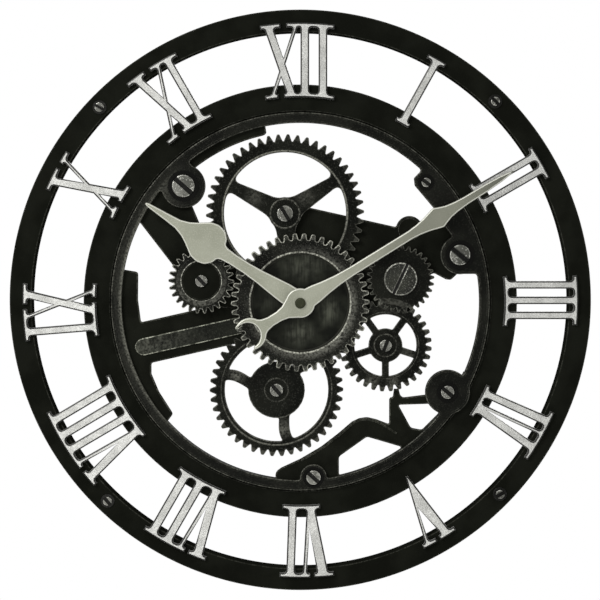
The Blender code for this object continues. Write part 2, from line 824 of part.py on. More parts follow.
def meshing(centre, teeth):
    """The bearing of a tooth that stands in a gap of the centre gear."""
    line = bearing_of(centre)
    pitch = 360.0 / CENTRE_TEETH
    share = ((line - CENTRE_FIRST) % pitch) / pitch
    return line + 180.0 + (share + 0.5) * 360.0 / teeth


GEAR_BORE_R = GEAR_SCREW_SHANK_R + GEAR_BORE_FIT
LAYER_FRONT = REAR_LAYER + GEAR
HUB_RAISE = 1.2
WASHER = 0.8
CENTRE_TEETH = 46
CENTRE_FIRST = 3.3
GEAR_HEAD = 2.2

UPPER_TIP_R = 86.0
UPPER_TOOTH = 7.6
UPPER_RIM_R = UPPER_TIP_R - UPPER_TOOTH - 12.0
UPPER_HUB_R = 16.9
gear(
    "upper_gear",
    pewter,
    UPPER,
    toothed(UPPER, UPPER_TIP_R, UPPER_TIP_R - UPPER_TOOTH, 50, 2.2, 0.0, 0.8),
    windows(UPPER, UPPER_HUB_R + 1.0, UPPER_RIM_R, [57.0, 177.0, 297.0], 21.8, 12.0, fillet=8.0),
    REAR_LAYER,
    GEAR,
    UPPER_HUB_R,
    LAYER_FRONT + HUB_RAISE,
    GEAR_BORE_R,
    UPPER_HUB_R - 2.0,
)
screw(
    "upper_gear_screw",
    UPPER,
    LAYER_FRONT + HUB_RAISE + FIT + GEAR_HEAD,
    8.7,
    GEAR_HEAD,
    GEAR_SCREW_SHANK_R,
    PLATE_REAR - 1.5,
    148,
    18,
)

LOWER_TIP_R = 73.0
LOWER_TOOTH = 6.6
LOWER_RIM_R = LOWER_TIP_R - LOWER_TOOTH - 9.9
LOWER_HUB_R = 31.0
LOWER_WASHER_R = 13.6
gear(
    "lower_gear",
    pewter,
    LOWER,
    toothed(LOWER, LOWER_TIP_R, LOWER_TIP_R - LOWER_TOOTH, 42, 175.3, 0.0, 0.8),
    windows(
        LOWER,
        LOWER_HUB_R,
        LOWER_RIM_R,
        [47.0, 167.0, 287.0],
        12.0,
        12.0,
        lambda t: -3.2 + 16.8 * t - 13.6 * t * t,
        2.5,
    ),
    REAR_LAYER,
    GEAR,
    LOWER_WASHER_R,
    LAYER_FRONT + WASHER,
    GEAR_BORE_R,
    LOWER_WASHER_R,
)
screw(
    "lower_gear_screw",
    LOWER,
    LAYER_FRONT + WASHER + FIT + GEAR_HEAD,
    7.1,
    GEAR_HEAD,
    GEAR_SCREW_SHANK_R,
    PLATE_REAR - 1.5,
    140,
)

LOWER_RIGHT_TIP_R = 50.6
LOWER_RIGHT_TOOTH = 6.5
LOWER_RIGHT_RIM_R = LOWER_RIGHT_TIP_R - LOWER_RIGHT_TOOTH - 10.3
LOWER_RIGHT_HUB_R = 18.5
LOWER_RIGHT_WASHER_R = 13.1
gear(
    "lower_right_gear",
    pewter,
    LOWER_RIGHT,
    toothed(LOWER_RIGHT, LOWER_RIGHT_TIP_R, LOWER_RIGHT_TIP_R - LOWER_RIGHT_TOOTH, 32, 83.0, 0.0, 0.8),
    windows(
        LOWER_RIGHT,
        LOWER_RIGHT_HUB_R,
        LOWER_RIGHT_RIM_R,
        [36.0, 108.0, 180.0, 252.0, 324.0],
        7.6,
        7.6,
        fillet=1.0,
    ),
    REAR_LAYER,
    GEAR,
    LOWER_RIGHT_WASHER_R,
    LAYER_FRONT + HUB_RAISE,
    GEAR_BORE_R,
    LOWER_RIGHT_WASHER_R,
)
screw(
    "lower_right_gear_screw",
    LOWER_RIGHT,
    LAYER_FRONT + HUB_RAISE + FIT + GEAR_HEAD,
    6.5,
    GEAR_HEAD,
    GEAR_SCREW_SHANK_R,
    PLATE_REAR - 1.5,
    20,
)

# Front layer: the dished centre gear, and the two small gears beside it
CENTRE_ROOT_R = CENTRE_TIP_R - 6.9
BOWL_R = CENTRE_ROOT_R - 14.3
BOWL_FLOOR_R = BOWL_R - 2.3
BOWL_FLOOR = FRONT_LAYER + 1.5
FRONT_FACE = FRONT_LAYER + FRONT_GEAR
centre_gear = gear(
    "centre_gear",
    pewter,
    (0.0, 0.0),
    toothed((0.0, 0.0), CENTRE_TIP_R, CENTRE_ROOT_R, CENTRE_TEETH, CENTRE_FIRST, 0.30, 0.66),
    [],
    FRONT_LAYER,
    FRONT_GEAR,
    11.0,
    BOWL_FLOOR,
    BUSH_R + FIT,
    11.0,
)
bowl = turned(
    "centre_bowl",
    None,
    [(0, FRONT_FACE + 2), (BOWL_R + 1, FRONT_FACE + 2), (BOWL_R, FRONT_FACE), (BOWL_FLOOR_R, BOWL_FLOOR)]
    + [(0, BOWL_FLOOR)],
    40,
)
combine(centre_gear, [bowl], "DIFFERENCE")

LEFT_TEETH = 26
LEFT_ROOT_R = LEFT_TIP_R - 5.9
LEFT_DISH_R = LEFT_ROOT_R - 9.3
LEFT_DISH = 0.8
left_gear = gear(
    "left_gear",
    pewter,
    LEFT,
    toothed(LEFT, LEFT_TIP_R, LEFT_ROOT_R, LEFT_TEETH, meshing(LEFT, LEFT_TEETH), 0.0, 0.8),
    [],
    FRONT_LAYER,
    FRONT_GEAR,
    14.0,
    FRONT_LAYER + FRONT_GEAR / 2,
    GEAR_BORE_R,
    14.0,
)
dish = turned(
    "left_dish",
    None,
    [(0, FRONT_FACE + 2), (LEFT_DISH_R, FRONT_FACE + 2), (LEFT_DISH_R, FRONT_FACE - LEFT_DISH)]
    + [(0, FRONT_FACE - LEFT_DISH)],
    28,
    LEFT,
)
combine(left_gear, [dish], "DIFFERENCE")
screw(
    "left_gear_screw",
    LEFT,
    FRONT_FACE - LEFT_DISH + FIT + GEAR_HEAD,
    6.5,
    GEAR_HEAD,
    GEAR_SCREW_SHANK_R,
    PLATE_REAR - 1.5,
    135,
)

RIGHT_TEETH = 30
RIGHT_ROOT_R = RIGHT_TIP_R - 4.9
gear(
    "right_gear",
    pewter,
    RIGHT,
    toothed(RIGHT, RIGHT_TIP_R, RIGHT_ROOT_R, RIGHT_TEETH, meshing(RIGHT, RIGHT_TEETH), 0.0, 0.8),
    [],
    FRONT_LAYER,
    FRONT_GEAR,
    14.0,
    FRONT_LAYER + FRONT_GEAR / 2,
    GEAR_BORE_R,
    14.0,
)
screw(
    "right_gear_screw",
    RIGHT,
    FRONT_FACE + FIT + GEAR_HEAD,
    18.1,
    GEAR_HEAD,
    GEAR_SCREW_SHANK_R,
    PLATE_REAR - 1.5,
    25,
    28,
)

# Movement: a moulded case with a threaded bush, a cover, and a nut that clamps the centre gear
HALF = CASE / 2
ROOM = HALF - CASE_WALL
CASE_REAR = COVER + FIT
CENTRE_WHEEL_R = 10.2
DIVIDER_TOP = -CENTRE_WHEEL_R - FIT
DIVIDER = 1.0
CONTACT_GAP = 2.3
FRONT_WALL = 1.1
ROOM_FRONT = CASE_FRONT - FRONT_WALL
corners = rounded(box(-HALF, -HALF, HALF, HALF), 3.0, 3)
movement_case = plate("movement_case", plastic, [corners], [], CASE_REAR, CASE_FRONT)
rooms = plate(
    "case_rooms",
    None,
    [
        box(-ROOM, DIVIDER_TOP, ROOM, ROOM),
        box(-ROOM, -ROOM, ROOM, DIVIDER_TOP - DIVIDER),
        box(-ROOM, -ROOM, -ROOM + CONTACT_GAP, ROOM),
        box(ROOM - CONTACT_GAP, -ROOM, ROOM, ROOM),
    ],
    [],
    0.0,
    ROOM_FRONT,
)
bush = turned(
    "case_bush",
    None,
    [(0, CASE_FRONT - FRONT_WALL / 2), (BUSH_R, CASE_FRONT - FRONT_WALL / 2), (BUSH_R, BUSH_FRONT)]
    + [(0, BUSH_FRONT)],
    20,
)
bore = turned(
    "case_bore",
    None,
    [(0, 0), (BUSH_BORE_R, 0), (BUSH_BORE_R, BUSH_FRONT + 2), (0, BUSH_FRONT + 2)],
    20,
)
combine(movement_case, [rooms], "DIFFERENCE")
combine(movement_case, [bush], "UNION")
combine(movement_case, [bore], "DIFFERENCE")

MOTION = polar(13.04, 60.0)
KNOB_R = 5.7
BATTERY_R = 7.0
BATTERY = 50.0
BATTERY_HEIGHT = -ROOM + BATTERY_R + FIT
plate(
    "rear_cover",
    plastic,
    [corners],
    [disc(KNOB_R + FIT, 20, MOTION), box(-ROOM, -ROOM, ROOM, DIVIDER_TOP - DIVIDER)],
    0.0,
    COVER,
)
nut_rear = BOWL_FLOOR + FIT
plate(
    "mounting_nut",
    brass,
    [disc(NUT_FLATS / 2 / math.cos(math.pi / 6), 6, turn=12)],
    [disc(BUSH_R + FIT, 20)],
    nut_rear,
    nut_rear + NUT,
    0.4,
)

# Going train, from the stepping rotor to the third wheel: wheels, pinions and arbors turned in one piece each
ARBOR = 0.6
TOOTH_GAP = 0.2
THIRD = polar(11.7, 285.0)
INTERMEDIATE = polar(9.8, 18.0)
ROTOR = polar(5.4, 20.0, INTERMEDIATE)
ARBOR_REAR = COVER + FIT
CLUTCH = 8.4


def wheel(name, material, centre, parts, rear, front, steps=14):
    """An arbor from rear to front that carries discs, each given as (radius, rear, front)."""
    profile = [(0, rear), (ARBOR, rear)]
    reached = rear
    for radius, low, high in parts:
        if low > reached:
            profile += [(ARBOR, reached), (ARBOR, low)] if reached > rear else [(ARBOR, low)]
        profile += [(radius, low), (radius, high)]
        reached = high
    profile += [(ARBOR, reached), (ARBOR, front), (0, front)]
    return turned(name, material, profile, steps, centre)


WHEEL = 0.8
SECONDS_REAR = 3.0
THIRD_REAR = SECONDS_REAR + WHEEL + 0.5
INTERMEDIATE_REAR = THIRD_REAR + WHEEL + 0.5
MAGNET_REAR = INTERMEDIATE_REAR + WHEEL + 0.5
MAGNET = 2.5
wheel(
    "seconds_wheel",
    white_plastic,
    (0.0, 0.0),
    [
        (8.4 - TOOTH_GAP, SECONDS_REAR, SECONDS_REAR + WHEEL),
        (1.38, SECONDS_REAR + WHEEL, THIRD_REAR + WHEEL + 0.3),
    ],
    ARBOR_REAR,
    6.9,
)
wheel(
    "third_wheel",
    white_plastic,
    THIRD,
    [
        (10.32 - TOOTH_GAP, THIRD_REAR, THIRD_REAR + WHEEL),
        (1.3 - TOOTH_GAP, THIRD_REAR + WHEEL, CLUTCH + 1.2),
    ],
    ARBOR_REAR,
    ROOM_FRONT - FIT,
)
wheel(
    "intermediate_wheel",
    white_plastic,
    INTERMEDIATE,
    [
        (1.4 - TOOTH_GAP, SECONDS_REAR - 0.6, SECONDS_REAR + WHEEL + 0.5),
        (4.5 - TOOTH_GAP, INTERMEDIATE_REAR, INTERMEDIATE_REAR + WHEEL),
    ],
    ARBOR_REAR,
    7.9,
)
wheel(
    "rotor",
    magnet,
    ROTOR,
    [
        (0.9, INTERMEDIATE_REAR - 0.4, INTERMEDIATE_REAR + WHEEL + 0.3),
        (3.0, MAGNET_REAR, MAGNET_REAR + MAGNET),
    ],
    ARBOR_REAR,
    MAGNET_REAR + MAGNET + 0.8,
)

COIL = (-12.3, 21.8)
COIL_LENGTH = 16.0
COIL_FLANGE = 1.2
coil_left = COIL[0] - COIL_LENGTH / 2
coil_right = COIL[0] + COIL_LENGTH / 2
plate(
    "coil",
    copper,
    [
        box(coil_left, COIL[1] - 3.3, coil_right, COIL[1] + 3.3),
        box(coil_left, COIL[1] - 4.3, coil_left + COIL_FLANGE, COIL[1] + 4.3),
        box(coil_right - COIL_FLANGE, COIL[1] - 4.3, coil_right, COIL[1] + 4.3),
    ],
    [],
    4.4,
    10.4,
)
LAMINATION = 2.8
leg_left = coil_left - FIT - LAMINATION / 2
leg_right = coil_right + FIT + LAMINATION / 2
stator_low = ROTOR[1] + 1.0
plate(
    "stator",
    steel,
    [
        strip((leg_left, COIL[1] + 2), (leg_left, stator_low - LAMINATION / 2), LAMINATION, LAMINATION),
        strip((leg_left, stator_low), (ROTOR[0], stator_low), LAMINATION, LAMINATION),
        strip((leg_right, COIL[1] + 2), (leg_right, COIL[1] - LAMINATION / 2), LAMINATION, LAMINATION),
        strip((leg_right, COIL[1]), (ROTOR[0] + LAMINATION / 2, COIL[1]), LAMINATION, LAMINATION),
        strip((ROTOR[0], COIL[1]), ROTOR, LAMINATION, LAMINATION),
        disc(4.6, 18, ROTOR),
    ],
    [disc(3.4, 18, ROTOR)],
    6.9,
    7.9,
)

BOARD_REAR = ROOM_FRONT - FIT - 1.0
CONTACT = 0.7
circuit_board = plate(
    "circuit_board",
    board_green,
    [
        box(-ROOM + FIT, 17.2, ROOM - FIT, ROOM - FIT),
        box(-ROOM + FIT, -ROOM + 3, -ROOM + FIT + CONTACT, 18.0),
        box(ROOM - FIT - CONTACT, -ROOM + 3, ROOM - FIT, 18.0),
    ],
    [],
    BOARD_REAR,
    ROOM_FRONT - FIT,
)
for side in (-1, 1):
    outer = side * (ROOM - FIT)
    inner = side * (ROOM - FIT - CONTACT)
    leaf = plate(
        "contact_leaf_" + ("left" if side < 0 else "right"),
        None,
        [box(min(outer, inner), BATTERY_HEIGHT - 4, max(outer, inner), BATTERY_HEIGHT + 4)],
        [],
        3.0,
        BOARD_REAR + 0.5,
    )
    combine(circuit_board, [leaf], "UNION")

battery_depth = ROOM_FRONT - FIT - BATTERY_R
bm = bmesh.new()
battery_profile = [(0, -0.5), (0.94, -0.5), (1, -0.48), (1, 0.48), (0.4, 0.48), (0.4, 0.5), (0, 0.5)]
ring = [bm.verts.new((along * BATTERY * MM, 0, share * BATTERY_R * MM)) for share, along in battery_profile]
edges = [bm.edges.new(pair) for pair in zip(ring, ring[1:])]
bmesh.ops.spin(
    bm, geom=ring + edges, cent=(0, 0, 0), axis=(1, 0, 0), angle=2 * math.pi, steps=20, use_merge=True
)
bmesh.ops.remove_doubles(bm, verts=bm.verts, dist=1e-6)
battery = finish("battery", cell_wrap, bm)
battery.location = (0, -battery_depth * MM, BATTERY_HEIGHT * MM)

# Hands and their motion work, on the dial's axis. The centre wheel slips on the arbor when they are set
CLUTCH_WHEEL = 0.8
SHOULDER_R = 2.8
PINION_FRONT = 12.2
turned(
    "centre_wheel",
    brass,
    [
        (ARBOR_R + FIT, CLUTCH),
        (CENTRE_WHEEL_R, CLUTCH),
        (CENTRE_WHEEL_R, CLUTCH + CLUTCH_WHEEL),
        (ARBOR_R + FIT, CLUTCH + CLUTCH_WHEEL),
    ],
    20,
)
MINUTE_FRONT = MINUTE_REAR + HAND
ARBOR_FRONT = MINUTE_FRONT + 1.8
turned(
    "centre_arbor",
    steel,
    [
        (0, CLUTCH - FIT - 0.9),
        (SHOULDER_R, CLUTCH - FIT - 0.9),
        (SHOULDER_R, CLUTCH - FIT),
        (ARBOR_R, CLUTCH - FIT),
        (ARBOR_R, CLUTCH + CLUTCH_WHEEL + FIT),
        (3.26 - TOOTH_GAP, CLUTCH + CLUTCH_WHEEL + FIT),
        (3.26 - TOOTH_GAP, PINION_FRONT),
        (ARBOR_R, PINION_FRONT),
        (ARBOR_R, ARBOR_FRONT),
        (0, ARBOR_FRONT),
    ],
    20,
)
KNOB_REAR = 0.3
KNOB_FRONT = 1.6
MINUTE_ARBOR_R = 1.0
MINUTE_WHEEL_REAR = 10.6
turned(
    "minute_wheel",
    white_plastic,
    [
        (0, KNOB_FRONT + FIT),
        (MINUTE_ARBOR_R, KNOB_FRONT + FIT),
        (MINUTE_ARBOR_R, MINUTE_WHEEL_REAR),
        (9.78 - TOOTH_GAP, MINUTE_WHEEL_REAR),
        (9.78 - TOOTH_GAP, MINUTE_WHEEL_REAR + 1.0),
        (2.6 - TOOTH_GAP, MINUTE_WHEEL_REAR + 1.0),
        (2.6 - TOOTH_GAP, MINUTE_WHEEL_REAR + 3.2),
        (0.9, MINUTE_WHEEL_REAR + 3.2),
        (0.9, ROOM_FRONT - FIT),
        (0, ROOM_FRONT - FIT),
    ],
    18,
    MOTION,
)
turned(
    "set_knob",
    white_plastic,
    [
        (0, KNOB_REAR),
        (KNOB_R, KNOB_REAR),
        (KNOB_R, KNOB_FRONT),
        (2.4, KNOB_FRONT),
        (2.4, KNOB_FRONT + 1.0),
        (MINUTE_ARBOR_R + FIT, KNOB_FRONT + 1.0),
        (MINUTE_ARBOR_R + FIT, KNOB_FRONT),
        (0, KNOB_FRONT),
    ],
    20,
    MOTION,
)
turned(
    "hour_wheel",
    white_plastic,
    [
        (PIPE_BORE_R, PINION_FRONT + 0.4),
        (CENTRE_WHEEL_R, PINION_FRONT + 0.4),
        (CENTRE_WHEEL_R, PINION_FRONT + 1.4),
        (PIPE_R, PINION_FRONT + 1.4),
        (PIPE_R, HOUR_REAR + HAND + 0.6),
        (PIPE_BORE_R, HOUR_REAR + HAND + 0.6),
    ],
    20,
)


def hand_outline(halves, bearing):
    """A symmetric outline along a bearing, from (distance, half width) pairs that end in a point."""
    right = [(half, along) for along, half in halves]
    left = [(-half, along) for along, half in halves if half > 0][::-1]
    return turned_by(right + left, bearing)


plate(
    "hour_hand",
    champagne,
    [
        hand_outline(
            [
                (0.0, 11.0),
                (20.0, 10.6),
                (32.0, 9.5),
                (54.0, 8.0),
                (81.0, 6.2),
                (98.0, 6.2),
                (102.5, 8.0),
                (104.0, 14.5),
                (110.0, 21.0),
                (119.0, 23.4),
                (128.0, 21.5),
                (141.0, 13.0),
                (152.0, 7.5),
                (168.0, 3.7),
                (185.0, 2.0),
                (199.0, 0.0),
            ],
            HOUR_BEARING,
        ),
        disc(HAND_HUB_R, 30),
    ],
    [disc(PIPE_R + FIT, 20)],
    HOUR_REAR,
    HOUR_REAR + HAND,
)
WRENCH = -63.7
WRENCH_R = 17.6
MOUTH = -67.0
MOUTH_R = 13.9
wrench_mouth = [(0.0, MOUTH), (-22.7, MOUTH - 13.1), (-22.0, MOUTH - 40)]
wrench_mouth += [(26.0, MOUTH - 40), (26.6, MOUTH - 2.2)]
plate(
    "minute_hand",
    champagne,
    [
        hand_outline(
            [
                (0.0, 12.0),
                (20.0, 10.4),
                (32.0, 8.2),
                (48.0, 6.2),
                (66.0, 5.4),
                (140.0, 5.4),
                (150.0, 6.2),
                (160.0, 8.0),
                (175.0, 11.3),
                (179.0, 10.2),
                (187.0, 7.8),
                (197.0, 6.3),
                (222.0, 5.2),
                (271.5, 0.0),
            ],
            MINUTE_BEARING,
        ),
        disc(HAND_HUB_R, 30),
        strip((0.0, 0.0), polar(WRENCH, MINUTE_BEARING), 11.4, 11.4),
        disc(WRENCH_R, 32, polar(WRENCH, MINUTE_BEARING)),
    ],
    [
        disc(ARBOR_R + FIT, 16),
        disc(MOUTH_R, 28, polar(MOUTH, MINUTE_BEARING)),
        turned_by(wrench_mouth, MINUTE_BEARING),
    ],
    MINUTE_REAR,
    MINUTE_FRONT,
)
CAP_R = 6.0
turned(
    "hand_nut",
    pewter,
    [
        (0, ARBOR_FRONT + FIT),
        (ARBOR_R + FIT, ARBOR_FRONT + FIT),
        (ARBOR_R + FIT, MINUTE_FRONT + FIT),
        (CAP_R, MINUTE_FRONT + FIT),
        (CAP_R, MINUTE_FRONT + 1.6),
        (CAP_R - 1.6, ARBOR_FRONT + 1.2),
        (0, ARBOR_FRONT + 1.7),
    ],
    20,
)

# Keyhole plate across the rear of the outer ring, behind twelve o'clock
HANGER_REAR = 1.0
HANGER = 1.6
KEYHOLE_R = 4.0
KEYHOLE_SLOT = 4.6
hanger_inner = DIAL_R - DIAL_BAND + RING_WALL + FIT + 0.1
hanger_outer = (DIAL_R - RING_WALL) * math.cos(math.pi / RING_STEPS) - FIT
keyhole = (0.0, (hanger_inner + hanger_outer) / 2 - 3.0)
plate(
    "hanger_plate",
    steel,
    [band(hanger_inner, hanger_outer, -6.5, 6.5, 6)],
    [
        disc(KEYHOLE_R, 20, keyhole),
        box(-KEYHOLE_SLOT / 2, keyhole[1], KEYHOLE_SLOT / 2, keyhole[1] + 8.0),
    ],
    HANGER_REAR,
    HANGER_REAR + HANGER,
)

# Groups, each an empty at the dial's axis
GROUPS = {
    "frame": ("ring", "numeral", "bridge", "bar", "lug_screw", "hanger"),
    "gears": ("gear",),
    "hands": ("hand", "arbor", "hour_wheel"),
    "movement": ("movement", "cover", "nut", "wheel", "rotor", "stator", "coil", "board", "battery", "knob"),
}
pieces = [o for o in bpy.data.objects if not o.hide_render]
for group, words in GROUPS.items():
    empty = bpy.data.objects.new(group, None)
    bpy.context.scene.collection.objects.link(empty)
    for piece in pieces:
        if piece.parent is None and any(word in piece.name for word in words):
            piece.parent = empty
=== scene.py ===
"""Looks of the open skeleton wall clock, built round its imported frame.

Sizes are in millimetres and become metres where a vertex is made. The dial stands in the XZ plane, facing -Y.
A depth is a distance from the wall, so depth 30 is y = -0.030. A bearing is in degrees clockwise from twelve.
A colour is linear red, green and blue.
"""

import math

import bmesh
import bpy
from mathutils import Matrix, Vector
from mathutils.geometry import delaunay_2d_cdt


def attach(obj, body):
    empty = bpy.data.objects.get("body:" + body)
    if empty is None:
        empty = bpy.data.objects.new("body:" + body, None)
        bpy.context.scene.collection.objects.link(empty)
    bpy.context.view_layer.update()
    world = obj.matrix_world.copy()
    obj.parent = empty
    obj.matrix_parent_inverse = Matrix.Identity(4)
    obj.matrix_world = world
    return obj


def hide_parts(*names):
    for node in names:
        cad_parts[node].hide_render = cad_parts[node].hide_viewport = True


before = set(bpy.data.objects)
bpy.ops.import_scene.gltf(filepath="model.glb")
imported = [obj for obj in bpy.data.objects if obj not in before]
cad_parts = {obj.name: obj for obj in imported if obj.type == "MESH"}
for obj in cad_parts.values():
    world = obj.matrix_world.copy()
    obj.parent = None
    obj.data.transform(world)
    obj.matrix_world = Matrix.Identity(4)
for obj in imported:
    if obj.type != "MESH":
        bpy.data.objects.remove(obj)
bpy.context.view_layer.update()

# Camera, two metres off and three degrees above the hands' axis, as the photographer stood.
# Lens and shift give the photograph's framing of 600 by 600.
TARGET = Vector((0.0, -0.020, 0.0))
DISTANCE = 2.0
ELEVATION = math.radians(3.0)
eye = bpy.data.cameras.new("camera")
eye.lens = 109.9
eye.sensor_width = 36.0
eye.shift_x = -0.0005
eye.shift_y = 0.00375
camera = bpy.data.objects.new("camera", eye)
camera.location = TARGET + DISTANCE * Vector((0.0, -math.cos(ELEVATION), math.sin(ELEVATION)))
camera.rotation_euler = (math.pi / 2 - ELEVATION, 0.0, 0.0)
bpy.context.scene.collection.objects.link(camera)
bpy.context.scene.camera = camera
bpy.context.scene.view_settings.view_transform = "Standard"

# Studio: soft boxes in front, the brightest at the upper left, and a white surround.
# The lamps themselves stay out of the picture.
AMBIENT = 0.42
WHITE = (1.0,) * 4


def softbox(name, place, width, height, power):
    lamp = bpy.data.lights.new(name, "AREA")
    lamp.shape = "RECTANGLE"
    lamp.size = width
    lamp.size_y = height
    lamp.energy = power
    box = bpy.data.objects.new(name, lamp)
    box.location = place
    box.rotation_euler = (TARGET - Vector(place)).to_track_quat("-Z", "Y").to_euler()
    box.visible_camera = False
    bpy.context.scene.collection.objects.link(box)


softbox("key_softbox", (-1.7, -1.9, 1.6), 1.2, 1.2, 64.0)
softbox("front_softbox", (-0.4, -3.0, -0.3), 1.6, 1.0, 15.0)
softbox("right_strip", (2.1, -0.9, 0.1), 0.4, 1.8, 9.0)
softbox("low_softbox", (-0.6, -1.6, -1.9), 1.4, 0.6, 9.0)
softbox("rear_softbox", (1.2, 2.4, 1.3), 1.4, 1.0, 30.0)

world = bpy.data.worlds.new("surround")
world.use_nodes = True
bpy.context.scene.world = world
wires = world.node_tree.links
surround = world.node_tree.nodes
lit = surround["Background"]
lit.inputs["Color"].default_value = WHITE
lit.inputs["Strength"].default_value = AMBIENT
seen = surround.new("ShaderNodeBackground")
seen.inputs["Color"].default_value = WHITE
seen.inputs["Strength"].default_value = 1.0
rays = surround.new("ShaderNodeLightPath")
chosen = surround.new("ShaderNodeMixShader")
wires.new(rays.outputs["Is Camera Ray"], chosen.inputs["Fac"])
wires.new(lit.outputs["Background"], chosen.inputs[1])
wires.new(seen.outputs["Background"], chosen.inputs[2])
wires.new(chosen.outputs["Shader"], surround["World Output"].inputs["Surface"])

# Outer ring and chapter ring: sheet steel pressed into channels that are open towards the wall.
# Both are stoved in black enamel, worn a little along their rolled edges.
MM = 0.001
SHARP = math.radians(34.0)
STRAIGHT = math.radians(80.0)
RING_DEPTH = 20.0
RING_WALL = 2.0
RING_EDGE = 1.2
ROLL_STEPS = 4
LIP = 0.4
RING_STEPS = 256
DIAL_R = 317.5
DIAL_BAND = 24.2
CHAPTER_R = 236.7
CHAPTER_STEP_R = 207.6
CHAPTER_INNER_R = 197.0
LEDGE_DEPTH = 16.0
FIT = 0.3


class Reading:
    """A value in a finish's shader, which adds, subtracts and multiplies as a number does."""

    def __init__(self, finish, socket):
        self.finish = finish
        self.socket = socket

    def worked(self, operation, first, second):
        return self.finish.node("ShaderNodeMath", {"operation": operation}, {0: first, 1: second})

    def __add__(self, other):
        return self.worked("ADD", self, other)

    def __sub__(self, other):
        return self.worked("SUBTRACT", self, other)

    def __rsub__(self, other):
        return self.worked("SUBTRACT", other, self)

    def __mul__(self, other):
        return self.worked("MULTIPLY", self, other)


class Finish:
    """A material of the clock. Its patterns read Object coordinates, so they keep their real size."""

    def __init__(self, name, constants):
        self.material = bpy.data.materials.new(name + "_finish")
        self.material.use_nodes = True
        self.nodes = self.material.node_tree.nodes
        self.links = self.material.node_tree.links
        self.shader = self.nodes["Principled BSDF"]
        self.slot = name
        for socket, value in constants.items():
            self.shader.inputs[socket].default_value = value

    def feed(self, socket, value):
        if isinstance(value, Reading):
            self.links.new(value.socket, socket)
        else:
            socket.default_value = value

    def node(self, kind, settings, inputs, output=0):
        made = self.nodes.new(kind)
        for name, value in settings.items():
            setattr(made, name, value)
        for name, value in inputs.items():
            self.feed(made.inputs[name], value)
        return Reading(self, made.outputs[output])

    def place(self, scale=(1.0, 1.0, 1.0), middle=(0.0, 0.0)):
        """Object coordinates, stretched, whose zero lies at the middle given in millimetres."""
        here = self.node("ShaderNodeTexCoord", {}, {}, "Object")
        shift = (-middle[0] * MM * scale[0], 0.0, -middle[1] * MM * scale[2])
        return self.node("ShaderNodeMapping", {}, {"Vector": here, "Scale": scale, "Location": shift})

    def along(self, axis):
        return self.node("ShaderNodeSeparateXYZ", {}, {"Vector": self.place()}, axis)

    def grain(self, size, detail=2.0, scale=(1.0, 1.0, 1.0)):
        """Noise whose lumps are about size across."""
        inputs = {"Vector": self.place(scale), "Scale": 1 / (size * MM), "Detail": detail}
        return self.node("ShaderNodeTexNoise", {}, inputs)

    def cells(self, size):
        """Dimples about size across, 0 at the middle of each."""
        inputs = {"Vector": self.place(), "Scale": 1 / (size * MM), "Smoothness": 0.4}
        return self.node("ShaderNodeTexVoronoi", {"feature": "SMOOTH_F1"}, inputs)

    def away(self, middle, stretch=1.0):
        """How far a point is from the line through middle that stands on the dial."""
        flat = self.place((stretch, 0.0, 1.0), middle)
        return self.node("ShaderNodeVectorMath", {"operation": "LENGTH"}, {0: flat}, "Value")

    def near(self, middle, reach, stretch=1.0):
        """A soft patch: 1 at the middle and 0 from reach on."""
        return 1 - self.ramp(self.away(middle, stretch), 0.0, reach * MM)

    def patches(self, spots):
        """Soft patches added up, each given as its middle, reach, stretch and share."""
        total = None
        for middle, reach, stretch, share in spots:
            patch = self.near(middle, reach, stretch) * share
            total = total + patch if total else patch
        return total

    def ring_line(self, centre, inner, outer):
        """1 on a thin ring about a centre, and 0 beside it."""
        away = self.away(centre)
        inner_side = self.ramp(away, (inner - 0.4) * MM, (inner + 0.4) * MM)
        return inner_side * (1 - self.ramp(away, (outer - 0.4) * MM, (outer + 0.4) * MM))

    def lower(self, high, low):
        """Grows from 0 at the height high to 1 at low."""
        return 1 - self.ramp(self.along("Z"), low * MM, high * MM)

    def painted_on(self, name):
        return self.node("ShaderNodeAttribute", {"attribute_name": name}, {}, "Fac")

    def ramp(self, value, low, high):
        settings = {"clamp": True, "interpolation_type": "SMOOTHSTEP"}
        return self.node("ShaderNodeMapRange", settings, {"Value": value, "From Min": low, "From Max": high})

    def mix(self, share, first, second):
        first, second = (c if isinstance(c, Reading) else (*c, 1.0) for c in (first, second))
        return self.node("ShaderNodeMix", {"data_type": "RGBA"}, {0: share, 6: first, 7: second}, 2)

    def relief(self, height, depth):
        return self.node("ShaderNodeBump", {}, {"Height": height, "Distance": depth * MM})

    def wear(self, colour, roughness, normal):
        self.feed(self.shader.inputs["Base Color"], colour)
        self.feed(self.shader.inputs["Roughness"], roughness)
        self.feed(self.shader.inputs["Normal"], normal)


